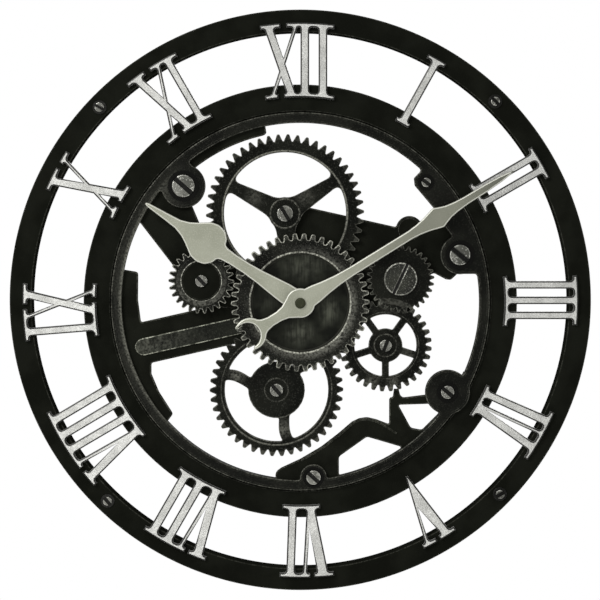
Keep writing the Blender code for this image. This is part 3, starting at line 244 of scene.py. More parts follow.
def worked_metal(
    name, constants, deep, pale, worn_and_highlight, edge_share, speck, roughness, lump=0.05, speck_size=1.3, polish_and_highlights=None
):
    """Cast or stoved metal: large clouds from deep to pale, fine specks, and edges rubbed down to worn."""
    made = Finish(name, constants)
    clouds = made.ramp(made.grain(34.0, 3.0), 0.36, 0.66)
    specks = made.ramp(made.grain(speck_size, 1.0), 0.56, 0.72)
    rubbing_and_highlights = made.painted_on("edge") * (made.ramp(made.grain(9.0, 3.0), 0.32, 0.60) * 0.75 + 0.25)
    rubbing_and_highlights = rubbing_and_highlights * (made.ramp(made.grain(2.0, 2.0), 0.38, 0.60) * 0.80 + 0.20)
    colour = made.mix(clouds, deep, pale)
    # The optional pattern lightens towards the worn tone: real polish in some finishes, painted highlights in
    # others.
    if polish_and_highlights:
        colour = made.mix(polish_and_highlights(made) * made.ramp(made.grain(2.2, 2.0), 0.25, 0.70), colour, worn_and_highlight)
    colour = made.mix(specks * speck, colour, worn_and_highlight)
    colour = made.mix(rubbing_and_highlights * edge_share, colour, worn_and_highlight)
    # Faces marked with painted shade are darkened towards near black, standing in for the shade on slots,
    # counterbores, washers and beads.
    colour = made.mix(made.painted_on("recess") * 0.97, colour, (0.003, 0.003, 0.0025))
    rough = made.grain(6.0, 2.0) * 0.16 + (roughness - 0.08)
    made.wear(colour, rough, made.relief(made.grain(1.1, 2.0) + made.grain(4.5) * 0.8, lump))
    return made


black = worked_metal(
    "black_enamel",
    {"Metallic": 0.0, "Specular IOR Level": 0.0},
    deep=(0.0058, 0.0062, 0.0046), pale=(0.0088, 0.0094, 0.0070), worn_and_highlight=(0.075, 0.076, 0.062),
    edge_share=0.50, speck=0.015, roughness=0.42, lump=0.025,
)


def bow(start, corner, end, shares):
    """Points at shares of the arc that runs from start to end and leans towards corner."""
    return [tuple(start * (1 - t) ** 2 + corner * (2 * t * (1 - t)) + end * t ** 2) for t in shares]


def rounded(points, radius, steps=3, closed=True):
    """The outline with its corners made arcs, smaller where the sides are short."""
    result = []
    last = len(points) - 1
    for i, corner in enumerate(points):
        here = Vector(corner)
        back = Vector(points[i - 1]) - here
        ahead = Vector(points[(i + 1) % len(points)]) - here
        half = back.angle(ahead) / 2
        if half > STRAIGHT or (not closed and i in (0, last)):
            result.append(tuple(here))
            continue
        reach = min(radius / math.tan(half), back.length * 0.45, ahead.length * 0.45)
        start = here + back.normalized() * reach
        end = here + ahead.normalized() * reach
        result.extend(bow(start, here, end, [k / steps for k in range(steps + 1)]))
    return result


def spun(places, closed, middle, axis, steps, recess=0.0):
    """A line of places, turned about an axis through middle into a shell. All are in metres."""
    bm = bmesh.new()
    line = [bm.verts.new(place) for place in places]
    edges = [bm.edges.new(pair) for pair in zip(line, line[1:])]
    if closed:
        edges.append(bm.edges.new((line[-1], line[0])))
    bmesh.ops.spin(
        bm, geom=line + edges, cent=middle, axis=axis, angle=2 * math.pi, steps=steps, use_merge=True
    )
    bmesh.ops.remove_doubles(bm, verts=bm.verts, dist=1e-6)
    paint_shade(bm, recess)
    return bm


def lathe(profile, steps, centre=(0.0, 0.0), recess=0.0):
    """A turned shell. The profile is (radius, depth) points, closed unless it starts and ends on the axis."""
    places = [((centre[0] + radius) * MM, -depth * MM, centre[1] * MM) for radius, depth in profile]
    return spun(places, profile[0][0] > 0, (centre[0] * MM, 0.0, centre[1] * MM), (0, 1, 0), steps, recess)


def paint_shade(bm, recess):
    """Marks the faces of a shell with painted shade, from 1 (near black, as the shade in a dark recess) to 0
    (none).
    """
    layer = bm.faces.layers.float.new("recess")
    for face in bm.faces:
        face[layer] = recess


def make(name, finish, shells, node=None, body="clock"):
    """Puts shells together as one piece that rides on a body and stands for its CAD node."""
    bm = bmesh.new()
    for shell in shells:
        spare = bpy.data.meshes.new("spare")
        shell.to_mesh(spare)
        shell.free()
        bm.from_mesh(spare)
        bpy.data.meshes.remove(spare)
    bmesh.ops.recalc_face_normals(bm, faces=bm.faces)
    layer = bm.faces.layers.float.new("edge")
    for face in bm.faces:
        slope = abs(face.normal.y)
        face[layer] = slope if 0.12 < slope < 0.99 else 0.0
        face.smooth = True
    for edge in bm.edges:
        faces = edge.link_faces
        if len(faces) == 2:
            same = (faces[0][layer] > 0) == (faces[1][layer] > 0)
            edge.smooth = same and edge.calc_face_angle() < SHARP
    mesh = bpy.data.meshes.new(name)
    bm.to_mesh(mesh)
    bm.free()
    mesh.materials.append(finish.material)
    piece = bpy.data.objects.new(name, mesh)
    bpy.context.scene.collection.objects.link(piece)
    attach(piece, body)
    if node:
        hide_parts(node)
    return piece


def rolled(corners):
    """The front of a ring's profile between its lips, with its corners rolled."""
    return rounded(corners, RING_EDGE, ROLL_STEPS, False)[1:-1]


inner = DIAL_R - DIAL_BAND
inner_wall = inner + RING_WALL
outer_wall = DIAL_R - RING_WALL
face_rear = RING_DEPTH - RING_WALL
outer_profile = (
    [(inner, LIP), (inner + LIP, 0.0), (inner_wall - LIP, 0.0), (inner_wall, LIP)]
    + [(inner_wall, face_rear), (outer_wall, face_rear)]
    + [(outer_wall, LIP), (outer_wall + LIP, 0.0), (DIAL_R - LIP, 0.0), (DIAL_R, LIP)]
    + rolled([(DIAL_R, LIP), (DIAL_R, RING_DEPTH), (inner, RING_DEPTH), (inner, LIP)])
)
make("turned_outer_ring", black, [lathe(outer_profile, RING_STEPS)], "outer_ring")
ledge_wall = CHAPTER_STEP_R + RING_WALL
chapter_profile = (
    [(CHAPTER_INNER_R, LIP), (CHAPTER_INNER_R + LIP, 0.0), (CHAPTER_INNER_R + RING_WALL, 0.0)]
    + [(CHAPTER_INNER_R + RING_WALL, LEDGE_DEPTH - RING_WALL), (ledge_wall, LEDGE_DEPTH - RING_WALL)]
    + [(ledge_wall, face_rear), (CHAPTER_R - RING_WALL, face_rear)]
    + [(CHAPTER_R - RING_WALL, 0.0), (CHAPTER_R - LIP, 0.0), (CHAPTER_R, LIP)]
    + rolled(
        [(CHAPTER_R, LIP), (CHAPTER_R, RING_DEPTH), (CHAPTER_STEP_R, RING_DEPTH)]
        + [(CHAPTER_STEP_R, LEDGE_DEPTH), (CHAPTER_INNER_R, LEDGE_DEPTH), (CHAPTER_INNER_R, LIP)]
    )
)
make("turned_chapter_ring", black, [lathe(chapter_profile, RING_STEPS)], "chapter_ring")

# Numerals: cast in white metal, hammered on the face and dark on the bevelled sides, whose near black is
# partly their paint and partly painted shade.
# Each lies across both rings, and its serifs follow the rings.
NUMERAL = 4.0
LEAST_TURN = 25.0
NUMERAL_EDGE = 1.2
STROKE_EDGE = 0.6
NUMERAL_REAR = RING_DEPTH + FIT
SERIF = 2.3
BRACKET = 3.8
LAP = 0.5
PARTING = 0.42
NUMERAL_R = DIAL_R - DIAL_BAND + 8.5
NUMERAL_FOOT_R = CHAPTER_R - 12.8
# Each hour has its strokes as (top, foot, width at the top, width at the foot), then the spans of its outer
# and inner serifs, all along the rings from the hour's bearing.
NUMERALS = {
    1: ([(-2.7, -1.6, 7.6, 7.6)], [(-13.1, 6.5)], [(-8.7, 5.5)]),
    2: ([(-10.4, -10.4, 7.6, 7.6), (6.0, 6.0, 7.6, 7.6)], [(-19.6, 16.4)], [(-17.4, 15.3)]),
    3: (
        [(-19.1, -19.1, 7.1, 7.1), (-2.2, -2.2, 7.1, 7.1), (14.2, 14.2, 7.1, 7.1)],
        [(-28.3, 24.0)],
        [(-27.3, 25.1)],
    ),
    4: (
        [(-22.3, -14.7, 9.3, 7.6), (-7.7, -0.9, 3.0, 3.0), (10.6, 3.9, 8.6, 7.4)],
        [(-32.7, 24.0)],
        [(-22.9, 13.1)],
    ),
    5: ([(-11.4, -5.7, 9.8, 0.7), (12.0, -5.2, 3.2, 1.0)], [(-21.8, -4.4), (2.2, 16.4)], []),
    6: (
        [(-25.1, -10.9, 10.9, 8.7), (-4.9, -9.3, 3.2, 3.2), (10.9, 8.2, 8.2, 8.2)],
        [(-36.0, -16.4), (-9.8, 21.8)],
        [(-20.7, 18.5)],
    ),
    7: (
        [(-41.5, -22.9, 9.8, 8.2), (-20.2, -21.5, 3.2, 3.2), (-4.4, -4.4, 8.7, 8.7), (14.2, 14.2, 8.7, 8.7)],
        [(-50.2, -31.7), (-25.1, 22.9)],
        [(-32.7, 22.9)],
    ),
    8: (
        [(-51.3, -31.7, 8.7, 8.7), (-31.1, -31.6, 3.2, 3.2), (-14.2, -13.6, 8.2, 8.2)]
        + [(3.8, 4.9, 8.2, 8.2), (22.4, 23.5, 8.2, 8.2)],
        [(-60.0, -43.7), (-36.0, 32.7)],
        [(-40.4, 34.9)],
    ),
    9: (
        [(-32.7, -26.7, 7.6, 7.6), (-16.9, 13.1, 2.9, 2.9), (9.3, -8.7, 7.6, 7.6)],
        [(-41.5, -8.7), (-1.1, 19.6)],
        [(-36.0, -1.1), (6.5, 19.6)],
    ),
    10: (
        [(-20.7, 5.5, 7.6, 8.7), (6.5, -16.4, 2.9, 2.9)],
        [(-30.5, -6.5), (2.2, 14.2)],
        [(-22.9, -10.9), (-2.2, 15.3)],
    ),
    11: (
        [(-32.7, -8.7, 8.2, 7.6), (-4.4, -29.5, 2.9, 2.9), (6.5, 6.5, 7.6, 7.6)],
        [(-43.7, -22.9), (-14.2, 17.4)],
        [(-37.1, -25.1), (-16.4, 17.4)],
    ),
    12: (
        [(-34.9, -9.1, 8.2, 8.2), (-4.4, -29.8, 2.9, 2.9), (4.9, 4.9, 8.2, 8.2), (24.5, 24.5, 8.2, 8.2)],
        [(-42.6, -22.9), (-14.2, 36.0)],
        [(-37.1, -25.1), (-16.4, 36.0)],
    ),
}

silver = Finish("hammered_silver", {"Metallic": 0.55, "Specular IOR Level": 0.3})
dents = silver.cells(1.9)
blotches = silver.grain(14.0, 3.0)
dark_bevel_and_shade = silver.ramp(silver.painted_on("edge"), 0.1, 0.5)
sheen = silver.mix(silver.ramp(blotches, 0.35, 0.65), (0.48, 0.48, 0.455), (0.60, 0.60, 0.57))
sheen = silver.mix(silver.ramp(silver.grain(1.5, 2.0), 0.44, 0.66) * 0.42, sheen, (0.27, 0.27, 0.25))
# The bevels are darkened almost to black: the castings' dark sides, deepened as painted shade.
sheen = silver.mix(dark_bevel_and_shade * 0.97, sheen, (0.012, 0.012, 0.010))
silver.wear(sheen, silver.grain(3.0) * 0.2 + 0.30, silver.relief(dents + silver.grain(0.8) * 0.5, 0.10))


def polar(radius, bearing, centre=(0.0, 0.0)):
    angle = math.radians(bearing)
    return (centre[0] + radius * math.sin(angle), centre[1] + radius * math.cos(angle))


def arc(radius, start, end, steps, centre=(0.0, 0.0)):
    return [polar(radius, start + (end - start) * i / steps, centre) for i in range(steps + 1)]


def disc(radius, steps, centre=(0.0, 0.0), turn=0.0):
    return [polar(radius, turn + 360.0 * i / steps, centre) for i in range(steps)]


def band(inner_r, outer_r, start, end, steps, centre=(0.0, 0.0)):
    """A stretch of ring between two bearings."""
    return arc(inner_r, start, end, steps, centre) + arc(outer_r, end, start, steps, centre)


def strip(start, end, start_width, end_width):
    """A straight bar from start to end, as wide as said at each."""
    along = (Vector(end) - Vector(start)).normalized()
    side = Vector((-along.y, along.x))
    corners = []
    for point, offset in ((start, -start_width), (end, -end_width), (end, end_width), (start, start_width)):
        corners.append(tuple(Vector(point) + side * (offset / 2)))
    return corners


def turned_by(outline, bearing):
    angle = math.radians(bearing)
    cos, sin = math.cos(angle), math.sin(angle)
    return [(x * cos + z * sin, z * cos - x * sin) for x, z in outline]


def area_of(loop):
    return sum(a[0] * b[1] - b[0] * a[1] for a, b in zip(loop, loop[1:] + loop[:1])) / 2


def trimmed(line, cut):
    """A polyline without the last stretch of length cut at either end."""
    line = [Vector(p) for p in line]
    for _ in range(2):
        left = cut
        while len(line) > 2 and (line[1] - line[0]).length < left:
            left -= (line[1] - line[0]).length
            line.pop(0)
        way = line[1] - line[0]
        line[0] = line[0] + way * min(left / way.length, 0.9)
        line.reverse()
    return line


def filleted(loop, reach, hollow=False):
    """The outline with its corners, or only its hollow ones, made arcs that start reach away from them."""
    count = len(loop)
    corners = []
    for i in range(count):
        before = Vector(loop[i]) - Vector(loop[i - 1])
        after = Vector(loop[(i + 1) % count]) - Vector(loop[i])
        turn = math.degrees(math.atan2(before.cross(after), before.dot(after)))
        if turn < -LEAST_TURN or (turn > LEAST_TURN and not hollow):
            corners.append(i)
    if not corners:
        return loop
    runs = []
    for i, following in zip(corners, corners[1:] + [corners[0] + count]):
        run = [Vector(loop[j % count]) for j in range(i, following + 1)]
        length = sum((b - a).length for a, b in zip(run, run[1:]))
        runs.append(trimmed(run, min(reach, 0.45 * length)))
    result = []
    for k, run in enumerate(runs):
        start, corner, end = runs[k - 1][-1], Vector(loop[corners[k]]), run[0]
        result.extend(bow(start, corner, end, [step / 6 for step in range(1, 6)]))
        result.extend(tuple(p) for p in run)
    return result


def joined(adds, cuts):
    """The outlines of what adds cover and cuts leave, with the material on the left of each."""
    points = []
    outlines = []
    for loop in list(adds) + list(cuts):
        turned_left = loop if area_of(loop) > 0 else loop[::-1]
        outlines.append(list(range(len(points), len(points) + len(loop))))
        points.extend(Vector(p[:2]) for p in turned_left)
    found, _, triangles, _, _, owners = delaunay_2d_cdt(points, [], outlines, 1, 1e-4)
    sides = set()
    for corners, owner in zip(triangles, owners):
        if owner and max(owner) < len(adds):
            sides.update(zip(corners, corners[1:] + corners[:1]))
    following = {}
    for a, b in sorted(sides):
        if (b, a) not in sides:
            following.setdefault(a, []).append(b)
    loops = []
    while following:
        here = min(following)
        loop = []
        while here in following:
            loop.append(here)
            ahead = following[here].pop()
            if not following[here]:
                del following[here]
            here = ahead
        loops.append(tidied([tuple(found[i]) for i in loop]))
    return [loop for loop in loops if len(loop) > 2]


def tidied(loop):
    """The outline without points that lie on their neighbours or straight between them."""
    loop = [p for i, p in enumerate(loop) if math.dist(p, loop[i - 1]) > 0.04]
    kept = []
    for i, here in enumerate(loop):
        before = Vector(here) - Vector(kept[-1] if kept else loop[-1])
        after = Vector(loop[(i + 1) % len(loop)]) - Vector(here)
        if abs(before.cross(after)) > 0.002 * (before + after).length or before.dot(after) < 0:
            kept.append(here)
    return kept


def filling(rings, facing):
    """Corners of the triangles that fill flat rings of vertices, or nothing where the rings cross."""
    areas = [area_of([(v.co.x, v.co.z) for v in ring]) * facing for ring in rings]
    rims = [ring[::facing] for ring, area in zip(rings, areas) if area > 0]
    holes = [ring[::-facing] for ring, area in zip(rings, areas) if area <= 0]
    verts = [v for ring in rims + holes for v in ring]
    rank = {v: i for i, v in enumerate(verts)}
    places = [Vector((v.co.x, v.co.z)) / MM for v in verts]
    outlines = [[rank[v] for v in ring] for ring in rims + holes]
    found, _, triangles, sources, _, owners = delaunay_2d_cdt(places, [], outlines, 1, 1e-5)
    if len(found) != len(verts):
        return []
    chosen = [corners for corners, owner in zip(triangles, owners) if owner and max(owner) < len(rims)]
    return [[verts[sources[i][0]] for i in corners[::facing]] for corners in chosen]


def drawn_in(bm, faces, inwards, rise):
    """Raises a flat end by rise and draws its border in, but never so far that a side of it turns round."""
    old_end = {e for face in faces for e in face.edges} | {v for face in faces for v in face.verts}
    grown = bmesh.ops.extrude_face_region(bm, geom=faces + list(old_end))["geom"]
    ends = [g for g in grown if isinstance(g, bmesh.types.BMFace)]
    inside = set(ends)
    upwards = ends[0].normal.copy()
    sides = {}
    border = []
    for face in ends:
        for loop in face.loops:
            if not inside.issuperset(loop.edge.link_faces):
                start, end = loop.vert, loop.link_loop_next.vert
                way = (end.co - start.co).normalized()
                border.append((start, end, way))
                for vert in (start, end):
                    sides.setdefault(vert, []).append(upwards.cross(way))
    moves = {}
    for vert, ways in sides.items():
        total = sum(ways, Vector((0.0, 0.0, 0.0)))
        moves[vert] = total * (inwards * MM / max(1 + ways[0].dot(ways[-1]), 0.5))
    for _ in range(3):
        shares = {}
        for start, end, way in border:
            room = (end.co - start.co).length * 0.96
            closing = (moves[start] - moves[end]).dot(way)
            if closing > room:
                for vert in (start, end):
                    shares[vert] = min(shares.get(vert, 1.0), room / closing)
        for vert, share in shares.items():
            moves[vert] *= share
    for vert in {v for face in ends for v in face.verts}:
        vert.co += upwards * (rise * MM)
    for vert, move in moves.items():
        vert.co += move
    return ends


def recapped(bm, faces):
    """Fills a flat end afresh, with its holes, after its border has moved."""
    ends = set(faces)
    facing = -1 if faces[0].normal.y > 0 else 1
    following = {}
    for face in faces:
        for loop in face.loops:
            if not ends.issuperset(loop.edge.link_faces):
                following[loop.vert] = loop.link_loop_next.vert
    rings = []
    while following:
        start, here = following.popitem()
        ring = [start]
        while here is not start:
            ring.append(here)
            here = following.pop(here)
        rings.append(ring)
    triangles = filling(rings, facing)
    if triangles:
        bmesh.ops.delete(bm, geom=faces, context="FACES_KEEP_BOUNDARY")
        for corners in triangles:
            bm.faces.new(corners)


def slab(adds, cuts, rear, front, edge, steps=3, rear_edge=0.3, recess=0.0, fillet=0.0, line=None):
    """A flat shell between two depths that covers adds and leaves out cuts.

    Its front corners are rounded by edge. A line, given as its way in from the border, its width and its
    height, is raised along the border.
    """
    loops = joined(adds, cuts)
    if fillet:
        loops = [filleted(loop, fillet, True) for loop in loops]
    bm = bmesh.new()
    rings = [[bm.verts.new((x * MM, -(rear + rear_edge) * MM, z * MM)) for x, z in loop] for loop in loops]
    back = [bm.faces.new(corners) for corners in filling(rings, 1)]
    grown = bmesh.ops.extrude_face_region(bm, geom=back, use_keep_orig=True)["geom"]
    face = [g for g in grown if isinstance(g, bmesh.types.BMFace)]
    moved = [g for g in grown if isinstance(g, bmesh.types.BMVert)]
    bmesh.ops.translate(bm, verts=moved, vec=(0.0, -(front - edge - rear - rear_edge) * MM, 0.0))
    bmesh.ops.reverse_faces(bm, faces=back)
    bm.normal_update()
    for k in range(steps):
        low, high = math.pi / 2 * k / steps, math.pi / 2 * (k + 1) / steps
        face = drawn_in(
            bm, face, edge * (math.cos(low) - math.cos(high)), edge * (math.sin(high) - math.sin(low))
        )
        bm.normal_update()
    if line:
        away, width, height = line
        for inwards, rise in ((away, 0.0), (width * 0.3, height), (width * 0.4, 0.0), (width * 0.3, -height)):
            face = drawn_in(bm, face, inwards, rise)
            bm.normal_update()
    recapped(bm, face)
    if rear_edge:
        recapped(bm, drawn_in(bm, back, rear_edge, rear_edge))
    paint_shade(bm, recess)
    return bm


def bracket(corner, along_serif, along_stroke, radius):
    """The hollow fillet between a stroke and its serif, which laps over both."""
    corner, serif_way, stroke_way = Vector(corner), Vector(along_serif), Vector(along_stroke)
    start = corner + serif_way * radius
    end = corner + stroke_way * radius
    back = corner - (serif_way + stroke_way) * LAP
    hollow = bow(start, corner, end, [k / 6 for k in range(7)])
    return [tuple(back), tuple(start - stroke_way * LAP)] + hollow + [tuple(end - serif_way * LAP)]


def stroke_edges(stroke, seat_r, top_end):
    """Where a stroke's two sides meet the serif of radius seat_r, and which way each side runs from there."""
    top, foot, top_width, foot_width = stroke
    high = math.sqrt(NUMERAL_R ** 2 - top ** 2)
    low = math.sqrt(NUMERAL_FOOT_R ** 2 - foot ** 2)
    result = []
    for side in (-1, 1):
        upper = Vector((top + side * (top_width / 2 + STROKE_EDGE), high))
        lower = Vector((foot + side * (foot_width / 2 + STROKE_EDGE), low))
        share = (upper.length - seat_r) / (upper.length - lower.length)
        way = (lower - upper).normalized() if top_end else (upper - lower).normalized()
        result.append((side, upper.lerp(lower, share), way))
    return result


def brackets(strokes, spans, seat_r, top_end):
    """The fillets of all strokes at their serifs, smaller where a neighbour or the serif's end is near."""
    shapes = []
    corners = [edge for stroke in strokes for edge in stroke_edges(stroke, seat_r, top_end)]
    for start, end in spans:
        held = [c for c in corners if start - 2 < c[1].x < end + 2]
        for side, corner, way in held:
            gaps = [(other.x - corner.x) * side for facing, other, _ in held if facing != side]
            reach = abs((end if side > 0 else start) - corner.x) + NUMERAL_EDGE - 0.4
            radius = min([BRACKET, reach] + [gap / 2 for gap in gaps if gap > 0.6])
            if radius > 0.5:
                across = Vector((corner.y, -corner.x)).normalized() * side
                shapes.append(bracket(corner, across, way, radius))
    return shapes


def stroke_bar(stroke, foot_serif):
    """A stroke at twelve o'clock, which ends half way into its serifs."""
    top, foot, top_width, foot_width = stroke
    high = math.sqrt((NUMERAL_R - SERIF / 2) ** 2 - top ** 2)
    low = math.sqrt((NUMERAL_FOOT_R + foot_serif / 2) ** 2 - foot ** 2)
    return strip((foot, low), (top, high), foot_width + 2 * STROKE_EDGE, top_width + 2 * STROKE_EDGE)


def serif(span, outer):
    start, end = (math.degrees(math.asin(u / outer)) for u in span)
    grow = math.degrees(NUMERAL_EDGE / outer)
    return band(outer - SERIF - NUMERAL_EDGE, outer + NUMERAL_EDGE, start - grow, end + grow, 6)


def web_of_v(thick, thin):
    """What fills a five between its strokes, up to the height where they part."""
    low, high = NUMERAL_FOOT_R, NUMERAL_R - SERIF
    parting = (thin[1] + (thin[0] - thin[1]) * PARTING, low + (high - low) * PARTING)
    return [(thick[0] + thick[2] / 2 - STROKE_EDGE, high), (thin[1], low), parting]


for hour, (strokes, tops, feet) in NUMERALS.items():
    shapes = [stroke_bar(s, SERIF if feet else 0.0) for s in strokes]
    if not feet:
        shapes.append(web_of_v(*strokes))
    shapes += [serif(span, NUMERAL_R) for span in tops]
    shapes += [serif(span, NUMERAL_FOOT_R + SERIF) for span in feet]
    shapes += brackets(strokes, tops, NUMERAL_R - SERIF - NUMERAL_EDGE, True)
    shapes += brackets(strokes, feet, NUMERAL_FOOT_R + SERIF + NUMERAL_EDGE, False)
    shapes = [turned_by(shape, 30.0 * hour) for shape in shapes]
    node = f"numeral_{hour:02d}"
    shell = slab(shapes, [], NUMERAL_REAR, NUMERAL_REAR + NUMERAL, NUMERAL_EDGE + 0.35, 2)
    make("cast_" + node, silver, [shell], node)

# Ring screws: four slotted cheese heads on washers, plated steel with worn faces.
# They hold the outer ring to its wall lugs.
RING_SCREW_R = 304.0
RING_SCREW_HEAD_R = 4.9
RING_SCREW_HEAD = 2.6
RING_SCREW_EDGE = 0.7
RING_WASHER_R = 7.6
RING_WASHER = 1.0
RING_SHANK_R = 2.4
RING_SHANK_REAR = 10.0
steel = worked_metal(
    "bright_steel",
    {"Metallic": 0.85},
    deep=(0.065, 0.066, 0.056), pale=(0.17, 0.17, 0.15), worn_and_highlight=(0.70, 0.70, 0.63),
    edge_share=0.95, speck=0.42, roughness=0.42, lump=0.05, speck_size=1.9,
)


def slotted_head(centre, seat, top, radius, edge, slot_bearing, sides, half=None, shade=0.8):
    """A screw's head: a base below the slot, and a cheek on each side of it with rounded edges."""
    slot_floor = seat + (top - seat) * 0.4
    base_r = radius - 0.05
    half = half or 1.15 + 0.05 * radius
    reach = radius * 1.5
    slot = turned_by([(-half, -reach), (half, -reach), (half, reach), (-half, reach)], slot_bearing)
    slot = [(x + centre[0], z + centre[1]) for x, z in slot]
    base_profile = [(0.0, seat), (base_r, seat), (base_r, slot_floor), (0.0, slot_floor)]
    # The base under the slot is painted near black, as the slot's painted shade.
    base = lathe(base_profile, sides, centre, 1.0)
    cheeks = slab([disc(radius, sides, centre)], [slot], slot_floor - 0.3, top, edge, 3, 0.0)
    across = Vector(polar(1.0, slot_bearing + 90.0))
    # The cheeks' faces beside the slot are darkened by shade, a painted shade along the slot's walls.
    layer = cheeks.faces.layers.float["recess"]
    for face in cheeks.faces:
        spot = face.calc_center_median() / MM
        if abs((Vector((spot.x, spot.z)) - Vector(centre)).dot(across)) < half + edge * 0.9:
            face[layer] = shade
    return [base, cheeks]


ring_seat = RING_DEPTH + FIT
washer_front = ring_seat + RING_WASHER
ring_washer = [(0.0, RING_SHANK_REAR), (RING_SHANK_R, RING_SHANK_REAR), (RING_SHANK_R, ring_seat)]
ring_washer += [(RING_WASHER_R, ring_seat), (RING_WASHER_R, ring_seat + 0.6)]
ring_washer += [(RING_WASHER_R - 0.4, washer_front), (0.0, washer_front)]
for place, bearing, slot in (
    ("upper_left", 314.2, 120),
    ("upper_right", 44.1, 135),
    ("lower_right", 133.9, 60),
    ("lower_left", 224.1, 140),
):
    spot = polar(RING_SCREW_R, bearing)
    front = washer_front + RING_SCREW_HEAD
    head = slotted_head(spot, washer_front, front, RING_SCREW_HEAD_R, RING_SCREW_EDGE, slot, 36)
    node = "ring_screw_" + place
    # The washer under each head is painted near black, as painted shade round the head.
    make("slotted_" + node, steel, [lathe(ring_washer, 40, spot, 0.96)] + head, node)

# Bridges: iron plates cast in black that carry the gears and lie on the chapter ring's ledge.
# The lower one has a ridge along its hump, the right one a raised boss, the main one thin webs behind the
# places where the gears' teeth overlap.
PLATE = 3.0
PLATE_REAR = LEDGE_DEPTH + FIT
PLATE_FRONT = PLATE_REAR + PLATE
PLATE_EDGE = 1.5
WEB = 1.5
WEB_EDGE = 0.6
OVERLAP_R = 73.0
BUSH_BORE = 4.3
TRIM_R = 206.5
TRIM_INNER_R = 195.0
TRIM_REAR = PLATE_FRONT + FIT
TRIM_FRONT = TRIM_REAR + 4.4
BRIDGE_R = CHAPTER_STEP_R - 2 * FIT
UPPER = (-16.6, 96.8)
LEFT = (-107.5, 23.6)
RIGHT = (108.8, 25.8)
LOWER_RIGHT = (92.9, -46.9)
LOWER = (-26.0, -95.6)
LUGS = {
    "upper_left": {"inset": 15.6, "bearing": 314.9, "radius": 24.0, "head_r": 12.4, "slot": 132},
    "upper_right": {"inset": 6.0, "bearing": 46.3, "radius": 12.0, "head_r": 5.1, "slot": 125},
    "right": {"inset": 13.7, "bearing": 73.4, "radius": 21.2, "head_r": 11.3, "slot": 130},
    "lower_right": {"inset": 6.5, "bearing": 121.4, "radius": 24.5, "head_r": 7.3, "slot": 130},
    "bottom": {"inset": 2.5, "bearing": 175.7, "radius": 14.6, "head_r": 8.0, "slot": 132},
}
for lug in LUGS.values():
    lug["centre"] = polar(TRIM_INNER_R - lug["inset"], lug["bearing"])
up_left = LUGS["upper_left"]["centre"]
right_lug = LUGS["right"]["centre"]
low_right = LUGS["lower_right"]["centre"]


def beside(centre, right, up):
    return (centre[0] + right, centre[1] + up)


def bearing_of(point, centre=(0.0, 0.0)):
    return math.degrees(math.atan2(point[0] - centre[0], point[1] - centre[1]))


# The plates' finish is a lighter copy of the black enamel, lightened as painted light to make up for the
# shade they lie in, with brighter edges, worn and painted as highlights.
lit_black_enamel = worked_metal(
    "black_enamel",
    {"Metallic": 0.0, "Specular IOR Level": 0.0},
    deep=(0.0066, 0.0070, 0.0052), pale=(0.0102, 0.0109, 0.0081), worn_and_highlight=(0.13, 0.132, 0.107),
    edge_share=0.60, speck=0.02, roughness=0.46, lump=0.05,
)


def bridge(node, adds, cuts, extra=()):
    shells = [slab(adds, cuts, PLATE_REAR, PLATE_FRONT, PLATE_EDGE, fillet=2.5)] + list(extra)
    make("plate_" + node, lit_black_enamel, shells, node)


def web(adds):
    return slab(adds, [], PLATE_FRONT + FIT, PLATE_FRONT + WEB, WEB_EDGE)


def overlap(centre):
    """The point between the centre gear's axis and another's where their teeth overlap."""
    return tuple(Vector(centre).normalized() * OVERLAP_R)


bridge(
    "upper_left_bridge",
    [
        arc(TRIM_INNER_R - 9.2, 316.0, 347.2, 24)
        + [polar(TRIM_INNER_R - 8.6, 348.1), polar(TRIM_INNER_R - 6.8, 348.7), polar(BRIDGE_R, 348.9)]
        + arc(BRIDGE_R, 348.0, 316.0, 24),
        band(TRIM_INNER_R - 0.8, BRIDGE_R, 296.4, 318.0, 16),
        disc(LUGS["upper_left"]["radius"] - 3, 48, up_left),
        [polar(TRIM_INNER_R, 296.4), beside(LEFT, -30.2, 14.9), LEFT, beside(LEFT, 9.1, 35.6), up_left]
        + [polar(TRIM_INNER_R, 312.0), polar(TRIM_INNER_R, 304.2)],
        disc(24.0, 48, LEFT),
    ],
    [],
)
BOSS = (119.0, 79.4)
BOSS_R = 14.7
BOSS_RAISE = 0.9
right_foot = [(173.0, 38.0), (171.5, 30.9), (164.4, 24.3), (159.0, 24.9), (145.8, 31.9), (134.0, 25.0)]
bridge(
    "right_bridge",
    [
        band(TRIM_INNER_R - 14.0, BRIDGE_R, 44.0, 78.6, 30),
        disc(15.0, 40, UPPER),
        [beside(UPPER, 4.0, 11.5), (104.3, 82.1), BOSS, (146.0, 96.0)]
        + [polar(TRIM_INNER_R - 12, 60.0), polar(TRIM_INNER_R - 12, 66.0), beside(right_lug, 4.0, -18.0)]
        + rounded(right_foot, 4.0, 4, False)
        + [beside(RIGHT, 24.0, -6.0), beside(RIGHT, -12.0, -14.0), (38.0, 30.0), (2.0, 46.0)]
        + [beside(UPPER, 6.0, -14.0)],
        disc(BOSS_R, 48, BOSS),
        disc(26.0, 56, RIGHT),
    ],
    [],
    [slab([disc(BOSS_R - 2.2, 48, BOSS)], [], PLATE_FRONT - 0.5, PLATE_FRONT + BOSS_RAISE, 0.8)],
)
